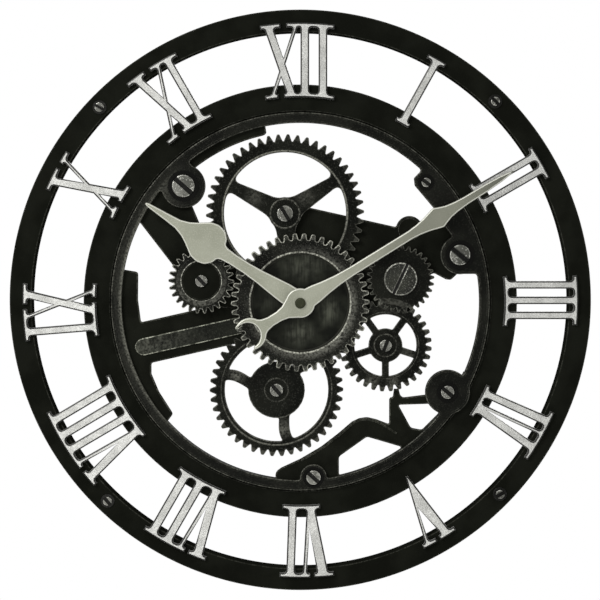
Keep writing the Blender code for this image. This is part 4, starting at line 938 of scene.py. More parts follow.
bridge(
    "main_bridge",
    [
        rounded(
            arc(BRIDGE_R, 227.4, 280.4, 36)
            + [(-177.0, 33.0), (-177.4, 2.5), (-174.0, -24.0), (-163.0, -50.0), (-163.0, -78.6)]
            + [(-154.7, -98.4), (-139.4, -122.6)],
            4.0,
            4,
        ),
        strip(polar(BRIDGE_R - 9, 257.2, (0.0, -6.0)), (0.0, -6.0), 46.0, 46.0),
        disc(66.0, 96),
        strip(LOWER_RIGHT, polar(52.0, 324.0, LOWER_RIGHT), 6.4, 6.4),
        disc(15.0, 40, LOWER_RIGHT),
        strip(LOWER, polar(50.0, bearing_of((0.0, 0.0), LOWER), LOWER), 14.0, 14.0),
        disc(24.0, 48, LOWER),
    ],
    [
        disc(BUSH_BORE, 24),
        [beside(UPPER, 8.0, -90.0), (120.0, 10.0), (120.0, 90.0), (-60.0, 90.0), beside(UPPER, -12.0, -60.0)],
    ],
    [
        web([disc(22.6, 48, overlap(LEFT)), disc(13.0, 32, (-82.0, 38.0)), disc(10.0, 32, (-82.0, 4.0))]),
        web([disc(20.0, 48, overlap(RIGHT)), band(36.0, 56.0, -44.0, 36.0, 20, LOWER_RIGHT)]),
    ],
)
HUMP = [(-27.3, -190.0), (-26.9, -187.8), (-25.3, -185.2), (-20.6, -181.8), (-0.3, -172.4), (22.7, -158.8)]
HUMP += [(41.3, -144.4), (56.6, -131.2), (64.3, -127.5), (73.0, -126.1), (83.4, -128.6), (97.4, -134.0)]
hump = rounded(HUMP, 14.0, 5, False)
ridge_line = [Vector(p) for p in rounded(HUMP[4:-1] + [(95.0, -134.6), (107.0, -142.4)], 14.0, 5, False)]


def beside_line(line, offset):
    """The line moved to its right by offset."""
    last = len(line) - 1
    moved = []
    for i, here in enumerate(line):
        way = (line[min(i + 1, last)] - line[max(i - 1, 0)]).normalized()
        moved.append(tuple(here + Vector((way.y, -way.x)) * offset))
    return moved


ridge = beside_line(ridge_line, 1.0) + beside_line(ridge_line, 3.4)[::-1]
bridge(
    "lower_bridge",
    [
        band(TRIM_INNER_R - 0.8, BRIDGE_R, 113.0, 188.0, 60),
        [polar(TRIM_INNER_R, 188.0)]
        + hump
        + [(97.4, -106.6), (98.6, -104.6), (101.4, -104.6), (102.6, -95.0), (107.8, -95.0)]
        + [(109.4, -102.0), (112.4, -104.6), beside(low_right, -18.0, -2.6), beside(low_right, 0.0, 12.0)]
        + arc(TRIM_INNER_R, 114.5, 187.0, 32),
    ],
    [
        [(42.4, -169.9), (73.1, -147.9), (110.4, -158.9)] + arc(TRIM_INNER_R, 145.8, 167.4, 14),
        [(107.5, -112.7), (142.0, -111.6), (151.9, -121.5), (133.3, -140.2), (121.3, -138.0)],
    ],
    [slab([ridge], [], PLATE_FRONT - 0.8, PLATE_FRONT + 0.9, 0.9)],
)

# Inlay bar: a strip of pewter let on to the left arm, rounded at its outer end.
# Its rim is rubbed bright and its face keeps the grain of the casting.
BAR_WIDTH = 18.8
BAR_END = (-171.2, -48.8)
BAR_FOOT = (-40.0, -19.6)


def outer_end(made):
    """The outer half is rubbed in streaks across the bar."""
    streaked = made.ramp(made.grain(5.0, 3.0, (1.0, 1.0, 0.3)), 0.34, 0.64)
    return made.near(BAR_END, 72.0, 0.8) * (streaked * 0.105 + 0.02)


pewter = worked_metal(
    "dark_pewter",
    {"Metallic": 0.15, "Specular IOR Level": 0.06},
    deep=(0.0050, 0.0056, 0.0040), pale=(0.0125, 0.0136, 0.0098), worn_and_highlight=(0.54, 0.55, 0.44),
    edge_share=0.95, speck=0.04, roughness=0.46, lump=0.09, speck_size=0.9,
    polish_and_highlights=outer_end,
)
bar_outline = strip(BAR_END, BAR_FOOT, BAR_WIDTH, BAR_WIDTH)
bar = slab([bar_outline, disc(BAR_WIDTH / 2, 48, BAR_END)], [], PLATE_FRONT + FIT, PLATE_FRONT + 1.7, 1.1)
make("let_on_inlay_bar", pewter, [bar], "inlay_bar")

# Trim ring: a lugged ring of dark pewter that clamps the bridges to the ledge.
# Each lug has a counterbore for the head of its screw, with a washer let in round it; the counterbore's floor
# and the washer are painted near black as painted shade.
COUNTERBORE = 1.6
mid_trim = (TRIM_R + TRIM_INNER_R) / 2
tab_inner = TRIM_INNER_R - 17.2


def painted_left_highlight(made):
    """The ring's left side carries a painted highlight, strongest at its inner edge and faint across the rest
    of its band.
    """
    left = 1 - made.ramp(made.along("X"), -0.200, -0.120)
    inner_side = 1 - made.ramp(made.away((0.0, 0.0)), (TRIM_INNER_R + 1.5) * MM, (TRIM_INNER_R + 4.5) * MM)
    middle = 1 - made.ramp(made.away((0.0, 0.0)), (TRIM_R - 6.0) * MM, (TRIM_R - 1.5) * MM)
    return left * (inner_side * 0.60 + middle * 0.09)


trim_metal = worked_metal(
    "dark_pewter",
    {"Metallic": 0.12, "Specular IOR Level": 0.05},
    deep=(0.0040, 0.0043, 0.0032), pale=(0.0088, 0.0092, 0.0069), worn_and_highlight=(0.20, 0.20, 0.165),
    edge_share=0.60, speck=0.05, roughness=0.42, lump=0.04,
    polish_and_highlights=painted_left_highlight,
)
ears = [disc(lug["radius"], 72, lug["centre"]) for side, lug in LUGS.items() if side != "upper_right"]
ears.append(
    rounded(
        [polar(mid_trim, 320.5), polar(TRIM_INNER_R, 321.6), polar(TRIM_INNER_R - 12, 321.9), up_left]
        + [polar(TRIM_INNER_R - 15, 308.0), polar(TRIM_INNER_R, 308.8), polar(mid_trim, 310.0)],
        2.0,
    )
)
ears.append(
    rounded(
        [polar(mid_trim, 42.0), polar(TRIM_INNER_R, 42.5), polar(TRIM_INNER_R - 12, 42.4)]
        + [polar(tab_inner, 44.4), polar(tab_inner, 55.0), polar(tab_inner, 62.4)]
        + [polar(TRIM_INNER_R - 14.6, 66.7), right_lug, beside(right_lug, -2.7, -20.8)]
        + [(polar(mid_trim, 80.8)[0], right_lug[1] - 20.8), polar(mid_trim, 70.0), polar(mid_trim, 56.0)],
        3.0,
    )
)
bores = [disc(lug["head_r"] + 0.9, 48, lug["centre"]) for lug in LUGS.values()]
halves = [band(TRIM_INNER_R, TRIM_R, -3.0, 183.0, 124), band(TRIM_INNER_R, TRIM_R, 177.0, 363.0, 124)]
rim_shells = [slab(halves + ears, bores, TRIM_REAR, TRIM_FRONT, 1.2, fillet=3.5, line=(1.0, 0.9, 0.45))]
for lug in LUGS.values():
    seat_r = lug["head_r"] + 1.1
    seat_profile = [(0.0, TRIM_REAR), (seat_r, TRIM_REAR), (seat_r, TRIM_FRONT - COUNTERBORE)]
    seat_profile += [(0.0, TRIM_FRONT - COUNTERBORE)]
    # The counterbore's floor is painted near black as shade.
    rim_shells.append(lathe(seat_profile, 48, lug["centre"], 1.0))
    washer_r = min(lug["head_r"] + 4.4, lug["radius"] - 3.0)
    washer_profile = [(lug["head_r"] + 0.6, TRIM_FRONT - 0.5), (washer_r, TRIM_FRONT - 0.5)]
    washer_profile += [(washer_r, TRIM_FRONT + 0.5), (lug["head_r"] + 0.6, TRIM_FRONT + 0.5)]
    # The washer is painted near black as shade.
    rim_shells.append(lathe(washer_profile, 64, lug["centre"], 0.93))
make("lugged_trim_ring", trim_metal, rim_shells, "trim_ring")

SHANK_REAR = PLATE_REAR - 1.5


def shank(radius, front, centre):
    return lathe([(0.0, SHANK_REAR), (radius, SHANK_REAR), (radius, front), (0.0, front)], 24, centre)


for side, lug in LUGS.items():
    node = side + "_lug_screw"
    head = slotted_head(
        lug["centre"],
        TRIM_FRONT - COUNTERBORE + FIT,
        TRIM_FRONT + 1.6,
        lug["head_r"],
        0.5 + lug["head_r"] * 0.06,
        lug["slot"],
        64,
    )
    make("slotted_" + node, steel, [shank(2.5, TRIM_FRONT - 1.0, lug["centre"])] + head, node)

# Rear gears: the upper, lower and lower right wheels, cast in pewter with arms, and screwed to the bridges.
# Their rims are turned, their teeth left as cast.
GEAR = 4.0
REAR_LAYER = PLATE_FRONT + 2.0
LAYER_FRONT = REAR_LAYER + GEAR
FRONT_LAYER = LAYER_FRONT + FIT
FRONT_FACE = FRONT_LAYER + 4.2
SCREW_HEAD = 2.2
HUB_RAISE = 1.2
WASHER = 0.8
GEAR_EDGE = 0.9
GEAR_BORE = 3.3
GEAR_SHANK_R = 3.0


def worn_lines_and_highlights(made):
    """Turned lines worn bright, patches on the arms where the black has worn, and painted highlights: the
    lower gear's lines and teeth lighter towards its bottom, and teeth bands lighter on each gear.
    """
    lit_low_side = made.lower(LOWER[1] + 10, LOWER[1] - 60)
    low_lines = made.ring_line(LOWER, 59.6, 61.3) * 0.55 + made.ring_line(LOWER, 29.8, 31.2) * 0.5
    lines = made.ring_line(UPPER, 66.9, 68.9) * 0.55 + low_lines * lit_low_side
    arms = made.patches(
        [((5.0, 115.0), 15.0, 1.0, 0.16), ((-50.0, 114.0), 14.0, 1.0, 0.16)]
        + [((-69.0, -79.0), 13.0, 1.0, 0.36), ((-19.0, -138.0), 14.0, 1.0, 0.36)]
        + [((78.0, -87.0), 10.0, 1.0, 0.30), ((101.0, -88.0), 10.0, 1.0, 0.30)]
    )
    teeth = made.ring_line(UPPER, 80.0, 88.0) * 0.10 + made.ring_line(LOWER, 68.0, 75.0) * lit_low_side * 0.24
    teeth = teeth + made.ring_line(LOWER_RIGHT, 45.5, 52.0) * 0.16 + made.ring_line(RIGHT, 33.0, 38.0) * 0.14
    return lines + arms + teeth + made.near((117.0, -56.0), 12.0) * 0.16


wheel_metal = worked_metal(
    "dark_pewter",
    {"Metallic": 0.12, "Specular IOR Level": 0.04},
    deep=(0.0034, 0.0037, 0.0027), pale=(0.0085, 0.0090, 0.0066), worn_and_highlight=(0.30, 0.30, 0.25),
    edge_share=0.48, speck=0.06, roughness=0.45, lump=0.07,
    polish_and_highlights=worn_lines_and_highlights,
)


def toothed(centre, tip_r, root_r, teeth, first, tip_share, root_share, soften):
    """Teeth as wide as the shares of the pitch at tip and root, with softened corners."""
    points = []
    pitch = 360.0 / teeth
    for i in range(teeth):
        here = first + i * pitch
        points.append(polar(root_r, here - root_share * pitch / 2, centre))
        points.extend(polar(tip_r, here + side * tip_share * pitch / 2, centre) for side in (-1, 1))
        points.append(polar(root_r, here + root_share * pitch / 2, centre))
    return rounded(points, soften, 3)


def half_angle(width, radius):
    return math.degrees(math.asin(width / 2 / radius))


def windows(centre, hub_r, rim_r, arms, hub_width, rim_width, bend, fillet):
    """The openings between neighbouring arms, whose bend is in degrees from hub (0) to rim (1)."""
    result = []
    for first, second in zip(arms, arms[1:] + [arms[0] + 360.0]):
        rising = []
        falling = []
        for k in range(9):
            t = k / 8
            radius = hub_r + (rim_r - hub_r) * t
            half = half_angle(hub_width + (rim_width - hub_width) * t, radius)
            rising.append((radius, first + bend(t) + half))
            falling.append((radius, second + bend(t) - half))
        if not bend(0.5):
            rising, falling = [rising[0], rising[-1]], [falling[0], falling[-1]]
        rim = arc(rim_r, rising[-1][1], falling[-1][1], 24, centre)[1:-1]
        hub = arc(hub_r, falling[0][1], rising[0][1], 8, centre)[1:-1]
        sides = [polar(*p, centre) for p in rising] + rim + [polar(*p, centre) for p in falling[::-1]] + hub
        result.append(filleted(sides, fillet))
    return result


def bead(radius, width, height, depth, centre=(0.0, 0.0), steps=128, shade=0.0):
    """A half-round ring that stands on a face at depth, darkened towards black by shade, its share of painted
    shade.
    """
    profile = [(radius - width / 2, depth - 0.4), (radius + width / 2, depth - 0.4)]
    for k in range(7):
        angle = math.pi * k / 6
        profile.append((radius + width / 2 * math.cos(angle), depth + height * math.sin(angle)))
    return lathe(profile, steps, centre, shade)


def hub_boss(centre, foot_r, hub_r, layer, hub_front):
    """The hub of a gear: it stands on the bridge, passes through the web and ends in a rounded collar."""
    top = rounded([(hub_r, layer + 1.0), (hub_r, hub_front), (GEAR_BORE, hub_front)], 0.7, 4, False)
    profile = [(GEAR_BORE, PLATE_FRONT + FIT), (foot_r, PLATE_FRONT + FIT), (foot_r, layer + 1.0)] + top
    return lathe(profile, 64, centre)


def cut_gear(node, finish, teeth, openings, collars, rear=REAR_LAYER, front=LAYER_FRONT, edge=GEAR_EDGE):
    """A gear's web and teeth between two depths, and what stands on it."""
    make("cut_" + node, finish, [slab([teeth], openings, rear, front, edge)] + collars, node)


def gear_screw(node, centre, seat, radius, edge, slot_bearing, finish=steel, half=None, shade=0.8):
    head = slotted_head(centre, seat, seat + SCREW_HEAD, radius, edge, slot_bearing, 64, half, shade)
    make("slotted_" + node, finish, [shank(GEAR_SHANK_R, seat + 0.5, centre)] + head, node)


def straight(t):
    return 0.0


def lower_bend(t):
    return -3.2 + 16.8 * t - 13.6 * t * t


cut_gear(
    "upper_gear",
    wheel_metal,
    toothed(UPPER, 86.0, 78.4, teeth=50, first=2.2, tip_share=0.24, root_share=0.88, soften=1.5),
    windows(UPPER, 17.9, 66.4, [57.0, 177.0, 297.0], 21.8, 12.0, bend=straight, fillet=8.0)
    + [disc(GEAR_BORE, 24, UPPER)],
    [
        hub_boss(UPPER, 14.9, 16.9, REAR_LAYER, LAYER_FRONT + HUB_RAISE - 0.5),
        bead(15.6, 1.5, 0.6, LAYER_FRONT + HUB_RAISE - 0.6, UPPER, 64),
        bead(67.9, 1.7, 0.7, LAYER_FRONT, UPPER),
    ],
)
gear_screw("upper_gear_screw", UPPER, LAYER_FRONT + HUB_RAISE + FIT, radius=8.7, edge=0.8, slot_bearing=148)

cut_gear(
    "lower_gear",
    wheel_metal,
    toothed(LOWER, 73.0, 66.4, teeth=42, first=175.3, tip_share=0.28, root_share=0.86, soften=1.8),
    windows(LOWER, 31.0, 56.5, [47.0, 167.0, 287.0], 12.0, 12.0, bend=lower_bend, fillet=2.5)
    + [disc(GEAR_BORE, 24, LOWER)],
    [
        hub_boss(LOWER, 12.6, 13.6, REAR_LAYER, LAYER_FRONT + WASHER - 0.3),
        # The lower gear's beads are darkened by painted shade.
        bead(60.4, 1.6, 0.5, LAYER_FRONT, LOWER, 128, 0.35),
        bead(12.6, 1.3, 0.4, LAYER_FRONT + WASHER - 0.4, LOWER, 64, 0.55),
    ],
)
gear_screw("lower_gear_screw", LOWER, LAYER_FRONT + WASHER + FIT, radius=7.1, edge=0.7, slot_bearing=140)

cut_gear(
    "lower_right_gear",
    wheel_metal,
    toothed(LOWER_RIGHT, 50.6, 44.1, teeth=32, first=83.0, tip_share=0.40, root_share=0.80, soften=1.8),
    windows(LOWER_RIGHT, 18.5, 33.8, [36.0, 108.0, 180.0, 252.0, 324.0], 7.6, 7.6, bend=straight, fillet=1.4)
    + [disc(GEAR_BORE, 24, LOWER_RIGHT)],
    [
        hub_boss(LOWER_RIGHT, 12.1, 13.1, REAR_LAYER, LAYER_FRONT + HUB_RAISE - 0.4),
        # The lower right gear's beads are darkened by painted shade.
        bead(36.4, 1.0, 0.3, LAYER_FRONT, LOWER_RIGHT, 96, 0.45),
        bead(12.0, 1.4, 0.5, LAYER_FRONT + HUB_RAISE - 0.5, LOWER_RIGHT, 64, 0.35),
    ],
)
low_right_seat = LAYER_FRONT + HUB_RAISE + FIT
gear_screw("lower_right_gear_screw", LOWER_RIGHT, low_right_seat, radius=6.5, edge=0.7, slot_bearing=20)

# Front gears: the dished centre gear that the movement's nut clamps, and the two small gears beside it.
# The centre gear's bowl is streaked by its turning and staining, with streaky lighter patches painted on it
# as highlights, its rim cast rough.
CENTRE_TEETH = 46
CENTRE_FIRST = 3.3
RIM_EDGE = 1.1
BOWL_R = 54.3
BOWL_FLOOR_R = 52.0
BOWL_FLOOR = FRONT_LAYER + 1.5
BOWL_OUTER_R = BOWL_R + 0.2
BOWL_FOOT_R = 11.0
DISH_FOOT_R = 14.0
DISH_R = 21.6
DISH_FLOOR = FRONT_FACE - 0.8


def lighter_rim(made):
    """The rims are lighter beside the bowl and the left dish, most at the lower right, and a little on the
    teeth.
    """
    lower_right = made.ramp(made.along("X"), -0.040, 0.070) * 0.6 + made.lower(30.0, -60.0) * 0.4
    beside_bowl = 1 - made.ramp(made.away((0.0, 0.0)), 0.0560, 0.0650)
    beside_dish = made.ring_line(LEFT, 22.8, 27.5) * made.lower(50.0, 0.0)
    teeth = made.ring_line((0.0, 0.0), 69.5, 77.0) * 0.10
    return lower_right * (beside_bowl * 0.34 + 0.02) + beside_dish * 0.15 + teeth


centre_metal = worked_metal(
    "dark_pewter",
    {"Metallic": 0.15, "Specular IOR Level": 0.05},
    deep=(0.0030, 0.0033, 0.0024), pale=(0.0095, 0.0100, 0.0074), worn_and_highlight=(0.52, 0.52, 0.44),
    edge_share=0.95, speck=0.10, roughness=0.46, lump=0.14,
    polish_and_highlights=lighter_rim,
)


def meshing(centre, teeth):
    """The bearing of a tooth that stands in a gap of the centre gear."""
    line = bearing_of(centre)
    pitch = 360.0 / CENTRE_TEETH
    return line + 180.0 + ((line - CENTRE_FIRST) % pitch / pitch + 0.5) * 360.0 / teeth


bowl_metal = Finish("dark_pewter", {"Metallic": 0.15, "Specular IOR Level": 0.05})
streaks = bowl_metal.ramp(bowl_metal.grain(1.9, 4.0, (1.0, 1.0, 0.09)), 0.28, 0.74)
# Streaky lighter patches on the bowl, at the lower right, top, bottom and left, are painted highlights.
rubbing_and_highlights = bowl_metal.patches(
    [((30.0, -8.0), 24.0, 1.4, 0.9), ((4.0, 40.0), 24.0, 0.7, 0.6)]
    + [((-1.0, -32.0), 22.0, 0.9, 0.8), ((-34.0, 2.0), 18.0, 1.0, 0.3)]
)
rubbing_and_highlights = rubbing_and_highlights * (bowl_metal.ramp(bowl_metal.grain(9.0, 3.0), 0.30, 0.62) * 0.7 + 0.3)
clouds = bowl_metal.ramp(bowl_metal.grain(14.0, 4.0), 0.38, 0.62)
stain_and_highlights = bowl_metal.mix(clouds, (0.0050, 0.0056, 0.0040), (0.0125, 0.0136, 0.0097))
stain_and_highlights = bowl_metal.mix(rubbing_and_highlights * (streaks * 0.7 + 0.3), stain_and_highlights, (0.100, 0.105, 0.080))
stain_and_highlights = bowl_metal.mix(bowl_metal.painted_on("edge") * 0.12, stain_and_highlights, (0.20, 0.20, 0.165))
turning = bowl_metal.grain(1.2, 2.0, (1.0, 1.0, 0.12))
bowl_metal.wear(stain_and_highlights, bowl_metal.grain(8.0) * 0.2 + 0.36, bowl_metal.relief(turning, 0.06))
cut_gear(
    "centre_gear",
    centre_metal,
    toothed((0.0, 0.0), 75.5, 68.6, CENTRE_TEETH, CENTRE_FIRST, tip_share=0.42, root_share=0.76, soften=1.9),
    [disc(BOWL_R, 144)],
    [bead(BOWL_R + 0.6, 2.2, 0.8, FRONT_FACE, (0.0, 0.0), 160)],
    FRONT_LAYER,
    FRONT_FACE,
    RIM_EDGE,
)
bowl_side = [(BOWL_OUTER_R, FRONT_FACE - 0.4), (BOWL_R - 0.4, FRONT_FACE - 0.2)]
bowl_side += [(BOWL_FLOOR_R, BOWL_FLOOR), (BUSH_BORE, BOWL_FLOOR)]
bowl_profile = [(BOWL_OUTER_R, FRONT_LAYER), bowl_side[0]] + rounded(bowl_side, 0.8, 4, False)[1:]
bowl_profile += [(BUSH_BORE, PLATE_FRONT + FIT), (BOWL_FOOT_R, PLATE_FRONT + FIT), (BOWL_FOOT_R, FRONT_LAYER)]
make("turned_bowl", bowl_metal, [lathe(bowl_profile, 160)])

cut_gear(
    "left_gear",
    centre_metal,
    toothed(LEFT, 35.8, 29.9, 26, meshing(LEFT, 26), tip_share=0.30, root_share=0.84, soften=1.6),
    [disc(21.4, 72, LEFT)],
    [bead(22.1, 1.1, 0.5, FRONT_FACE, LEFT, 96)],
    FRONT_LAYER,
    FRONT_FACE,
)
dish_rim = [(DISH_R, FRONT_FACE - 0.1), (DISH_R - 1.0, FRONT_FACE - 0.1)]
dish_rim += [(DISH_R - 1.4, DISH_FLOOR), (GEAR_BORE, DISH_FLOOR)]
dish_profile = [(GEAR_BORE, PLATE_FRONT + FIT), (DISH_FOOT_R, PLATE_FRONT + FIT), (DISH_FOOT_R, FRONT_LAYER)]
dish_profile += [(DISH_R, FRONT_LAYER)] + rounded(dish_rim, 0.4, 3, False)
make("turned_left_dish", black, [lathe(dish_profile, 96, LEFT)])
gear_screw("left_gear_screw", LEFT, DISH_FLOOR + FIT, radius=6.5, edge=0.6, slot_bearing=135)

cut_gear(
    "right_gear",
    wheel_metal,
    toothed(RIGHT, 36.9, 32.0, 30, meshing(RIGHT, 30), tip_share=0.30, root_share=0.84, soften=1.4),
    [disc(GEAR_BORE, 24, RIGHT)],
    [hub_boss(RIGHT, 14.0, 14.0, FRONT_LAYER, FRONT_FACE - 0.3)],
    FRONT_LAYER,
    FRONT_FACE,
)
blued_steel = worked_metal(
    "bright_steel",
    {"Metallic": 0.3, "Specular IOR Level": 0.2},
    deep=(0.0060, 0.0064, 0.0046), pale=(0.024, 0.025, 0.018), worn_and_highlight=(0.62, 0.62, 0.54),
    edge_share=0.95, speck=0.16, roughness=0.42, lump=0.08,
)
gear_screw(
    "right_gear_screw", RIGHT, FRONT_FACE + FIT, radius=18.1, edge=1.5, slot_bearing=25, finish=blued_steel,
    half=1.3, shade=0.0,
)

# Movement: a quartz movement in a black moulded case, with a snap cover, a cell and a setting knob behind.
# A brass nut on its threaded bush clamps the centre gear.
CASE = 56.0
CASE_WALL = 1.3
COVER = 1.5
NUT_FLATS = 12.5
NUT = 2.6
plastic = worked_metal(
    "black_plastic",
    {"Metallic": 0.0, "Specular IOR Level": 0.4},
    deep=(0.012, 0.012, 0.013), pale=(0.018, 0.018, 0.019), worn_and_highlight=(0.05, 0.05, 0.05),
    edge_share=0.3, speck=0.1, roughness=0.5, lump=0.04, speck_size=0.6,
)
brass = worked_metal(
    "brass",
    {"Metallic": 1.0},
    deep=(0.42, 0.28, 0.10), pale=(0.62, 0.44, 0.17), worn_and_highlight=(0.80, 0.62, 0.30),
    edge_share=0.6, speck=0.1, roughness=0.34, lump=0.02,
)
white_plastic = worked_metal(
    "white_plastic",
    {"Metallic": 0.0},
    deep=(0.62, 0.62, 0.58), pale=(0.74, 0.74, 0.70), worn_and_highlight=(0.80, 0.80, 0.77),
    edge_share=0.4, speck=0.1, roughness=0.42, lump=0.015,
)
board_finish = worked_metal(
    "board_green",
    {"Metallic": 0.0},
    deep=(0.012, 0.085, 0.03), pale=(0.022, 0.14, 0.05), worn_and_highlight=(0.55, 0.42, 0.18),
    edge_share=0.3, speck=0.5, roughness=0.35, lump=0.02, speck_size=2.2,
)
WIRE = 0.9
copper = Finish("copper_wire", {"Metallic": 0.9})
wave = {"Vector": copper.place(), "Scale": 1 / (WIRE * MM) / 2}
turns = copper.node("ShaderNodeTexWave", {"bands_direction": "X"}, wave)
winding = copper.mix(turns, (0.20, 0.065, 0.025), (0.62, 0.26, 0.12))
copper.wear(winding, copper.grain(2.0) * 0.2 + 0.28, copper.relief(turns, 0.08))
magnet = worked_metal(
    "magnet_grey",
    {"Metallic": 0.8},
    deep=(0.09, 0.09, 0.10), pale=(0.14, 0.14, 0.15), worn_and_highlight=(0.35, 0.35, 0.36),
    edge_share=0.5, speck=0.2, roughness=0.4, lump=0.03,
)
INSIDE = {
    "movement_case": plastic,
    "circuit_board": board_finish,
    "coil": copper,
    "stator": steel,
    "rotor": magnet,
    "intermediate_wheel": white_plastic,
    "seconds_wheel": white_plastic,
    "third_wheel": white_plastic,
    "centre_wheel": brass,
    "centre_arbor": steel,
    "minute_wheel": white_plastic,
    "hour_wheel": white_plastic,
}
for node, finish in INSIDE.items():
    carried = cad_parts[node]
    carried.data.materials.clear()
    carried.data.materials.append(finish.material)

HALF = CASE / 2
ROOM = HALF - CASE_WALL
KNOB_R = 5.7
MOTION = polar(13.04, 60.0)
BAY_TOP = -11.5
corner = rounded([(-HALF, -HALF), (HALF, -HALF), (HALF, HALF), (-HALF, HALF)], 3.0, 6)
bay = [(-ROOM, -ROOM), (ROOM, -ROOM), (ROOM, BAY_TOP), (-ROOM, BAY_TOP)]
cover = slab([corner], [disc(KNOB_R + FIT, 40, MOTION), bay], 0.0, COVER, 0.3, 2, 0.4)
make("snap_rear_cover", plastic, [cover], "rear_cover")

knob_outline = toothed(MOTION, KNOB_R, KNOB_R - 0.5, 28, 0.0, tip_share=0.4, root_share=0.7, soften=0.2)
make(
    "knurled_set_knob",
    white_plastic,
    [
        slab([knob_outline], [], 0.3, 1.6, 0.2, 2, 0.25),
        lathe([(1.3, 1.5), (2.4, 1.5), (2.4, 2.6), (1.3, 2.6)], 32, MOTION),
    ],
    "set_knob",
    "motion_work",
)

BATTERY_R = 7.0
BATTERY = 50.0
BATTERY_HEIGHT = -ROOM + BATTERY_R + FIT
BATTERY_DEPTH = 14.6 - BATTERY_R
wrap = Finish("battery_wrap", {"Metallic": 0.1})
along = wrap.along("X")
sleeve = wrap.ramp(along, 0.0105, 0.0107)
ends = wrap.ramp(along * along, 0.0242 ** 2, 0.0243 ** 2)
foil = wrap.mix(sleeve, (0.020, 0.022, 0.024), (0.42, 0.22, 0.09))
foil = wrap.mix(ends, foil, (0.60, 0.60, 0.58))
wrap.wear(foil, wrap.grain(5.0) * 0.15 + 0.22, wrap.relief(wrap.grain(2.0), 0.02))
cell_profile = rounded(
    [(0.0, -0.497), (0.90, -0.497), (0.92, -0.49), (1.0, -0.488), (1.0, 0.482)]
    + [(0.9, 0.488), (0.42, 0.485), (0.40, 0.5), (0.0, 0.5)],
    0.02,
    3,
    False,
)
cell_line = [
    (length * BATTERY * MM, -BATTERY_DEPTH * MM, (BATTERY_HEIGHT + share * BATTERY_R) * MM)
    for share, length in cell_profile
]
cell_axis = (0.0, -BATTERY_DEPTH * MM, BATTERY_HEIGHT * MM)
make("wrapped_battery", wrap, [spun(cell_line, False, cell_axis, (1, 0, 0), 64)], "battery", "cell")

nut_rear = BOWL_FLOOR + FIT
nut_outline = disc(NUT_FLATS / 2 / math.cos(math.pi / 6), 6, turn=12)
hex_nut = slab([nut_outline], [disc(BUSH_BORE, 40)], nut_rear, nut_rear + NUT, 0.5)
make("hex_mounting_nut", brass, [hex_nut], "mounting_nut")

# Hands: stamped from sheet, brushed and lacquered warm grey, with bevelled rims painted bright as highlights
# and the minute hand painted darker towards its tip as shade.
# The minute hand's tail is an open spanner, and a dark cap nut holds the hand on its arbor.
HOUR_REAR = 33.4
HAND = 2.0
HAND_EDGE = 1.4
MINUTE_REAR = HOUR_REAR + HAND + 1.7
MINUTE_FRONT = MINUTE_REAR + HAND
HUB_R = 16.0
PIPE_BORE = 2.8
ARBOR_BORE = 1.8
HOUR_BEARING = 302.8
MINUTE_BEARING = 58.2
champagne = Finish("warm_grey_metal", {"Metallic": 0.25, "Specular IOR Level": 0.3})
sheet_tone = champagne.ramp(champagne.grain(45.0, 2.0), 0.35, 0.68)
lacquer_and_painted_light = champagne.mix(sheet_tone, (0.250, 0.258, 0.198), (0.315, 0.322, 0.255))
brushed = champagne.ramp(champagne.grain(1.3, 1.0), 0.48, 0.74) * 0.45
lacquer_and_painted_light = champagne.mix(brushed, lacquer_and_painted_light, (0.40, 0.40, 0.33))
to_the_right = champagne.along("X")
# Painted shade: darker towards the right, that is towards the minute hand's tip, and darker still near the
# tip.
lacquer_and_painted_light = champagne.mix(champagne.ramp(to_the_right, 0.020, 0.130) * 0.55, lacquer_and_painted_light, (0.12, 0.12, 0.095))
lacquer_and_painted_light = champagne.mix(champagne.ramp(to_the_right, 0.165, 0.220) * 0.50, lacquer_and_painted_light, (0.045, 0.046, 0.036))
# The bevelled rims are painted near white as highlights.
lacquer_and_painted_light = champagne.mix(champagne.painted_on("edge") * 0.85, lacquer_and_painted_light, (0.72, 0.72, 0.64))
champagne.wear(lacquer_and_painted_light, champagne.grain(4.0) * 0.16 + 0.38, champagne.relief(champagne.grain(0.9, 1.0), 0.05))


def hand_outline(halves, bearing):
    """A symmetric outline along a bearing, from (distance, half width) pairs that end in a point."""
    right = [(half, along) for along, half in halves]
    left = [(-half, along) for along, half in halves if half > 0][::-1]
    return turned_by(rounded(right + left, 10.0, 5), bearing)


hour_blade = hand_outline(
    [(0.0, 11.4), (20.0, 11.0), (32.0, 9.7), (52.0, 7.4), (70.0, 6.2), (88.0, 6.3), (98.0, 7.2), (102.0, 8.8)]
    + [(103.8, 14.8), (110.0, 21.0), (119.0, 23.4), (128.0, 21.5), (140.0, 13.2), (148.0, 8.6), (158.0, 5.3)]
    + [(170.0, 4.2), (185.0, 3.0), (196.4, 2.0), (198.8, 1.1), (199.4, 0.0)],
    HOUR_BEARING,
)
hour_front = HOUR_REAR + HAND
hour_sheet = slab([hour_blade, disc(HUB_R, 72)], [disc(PIPE_BORE, 24)], HOUR_REAR, hour_front, HAND_EDGE)
make("stamped_hour_hand", champagne, [hour_sheet], "hour_hand", "hour_group")
WRENCH = -63.7
WRENCH_R = 17.6
MOUTH = -67.0
MOUTH_R = 13.9
TAIL = [(-6.0, 14.6), (-13.0, 10.8), (-19.0, 7.4), (-27.0, 5.8), (-38.0, 5.7), (-46.0, 7.4), (-52.0, 12.0)]
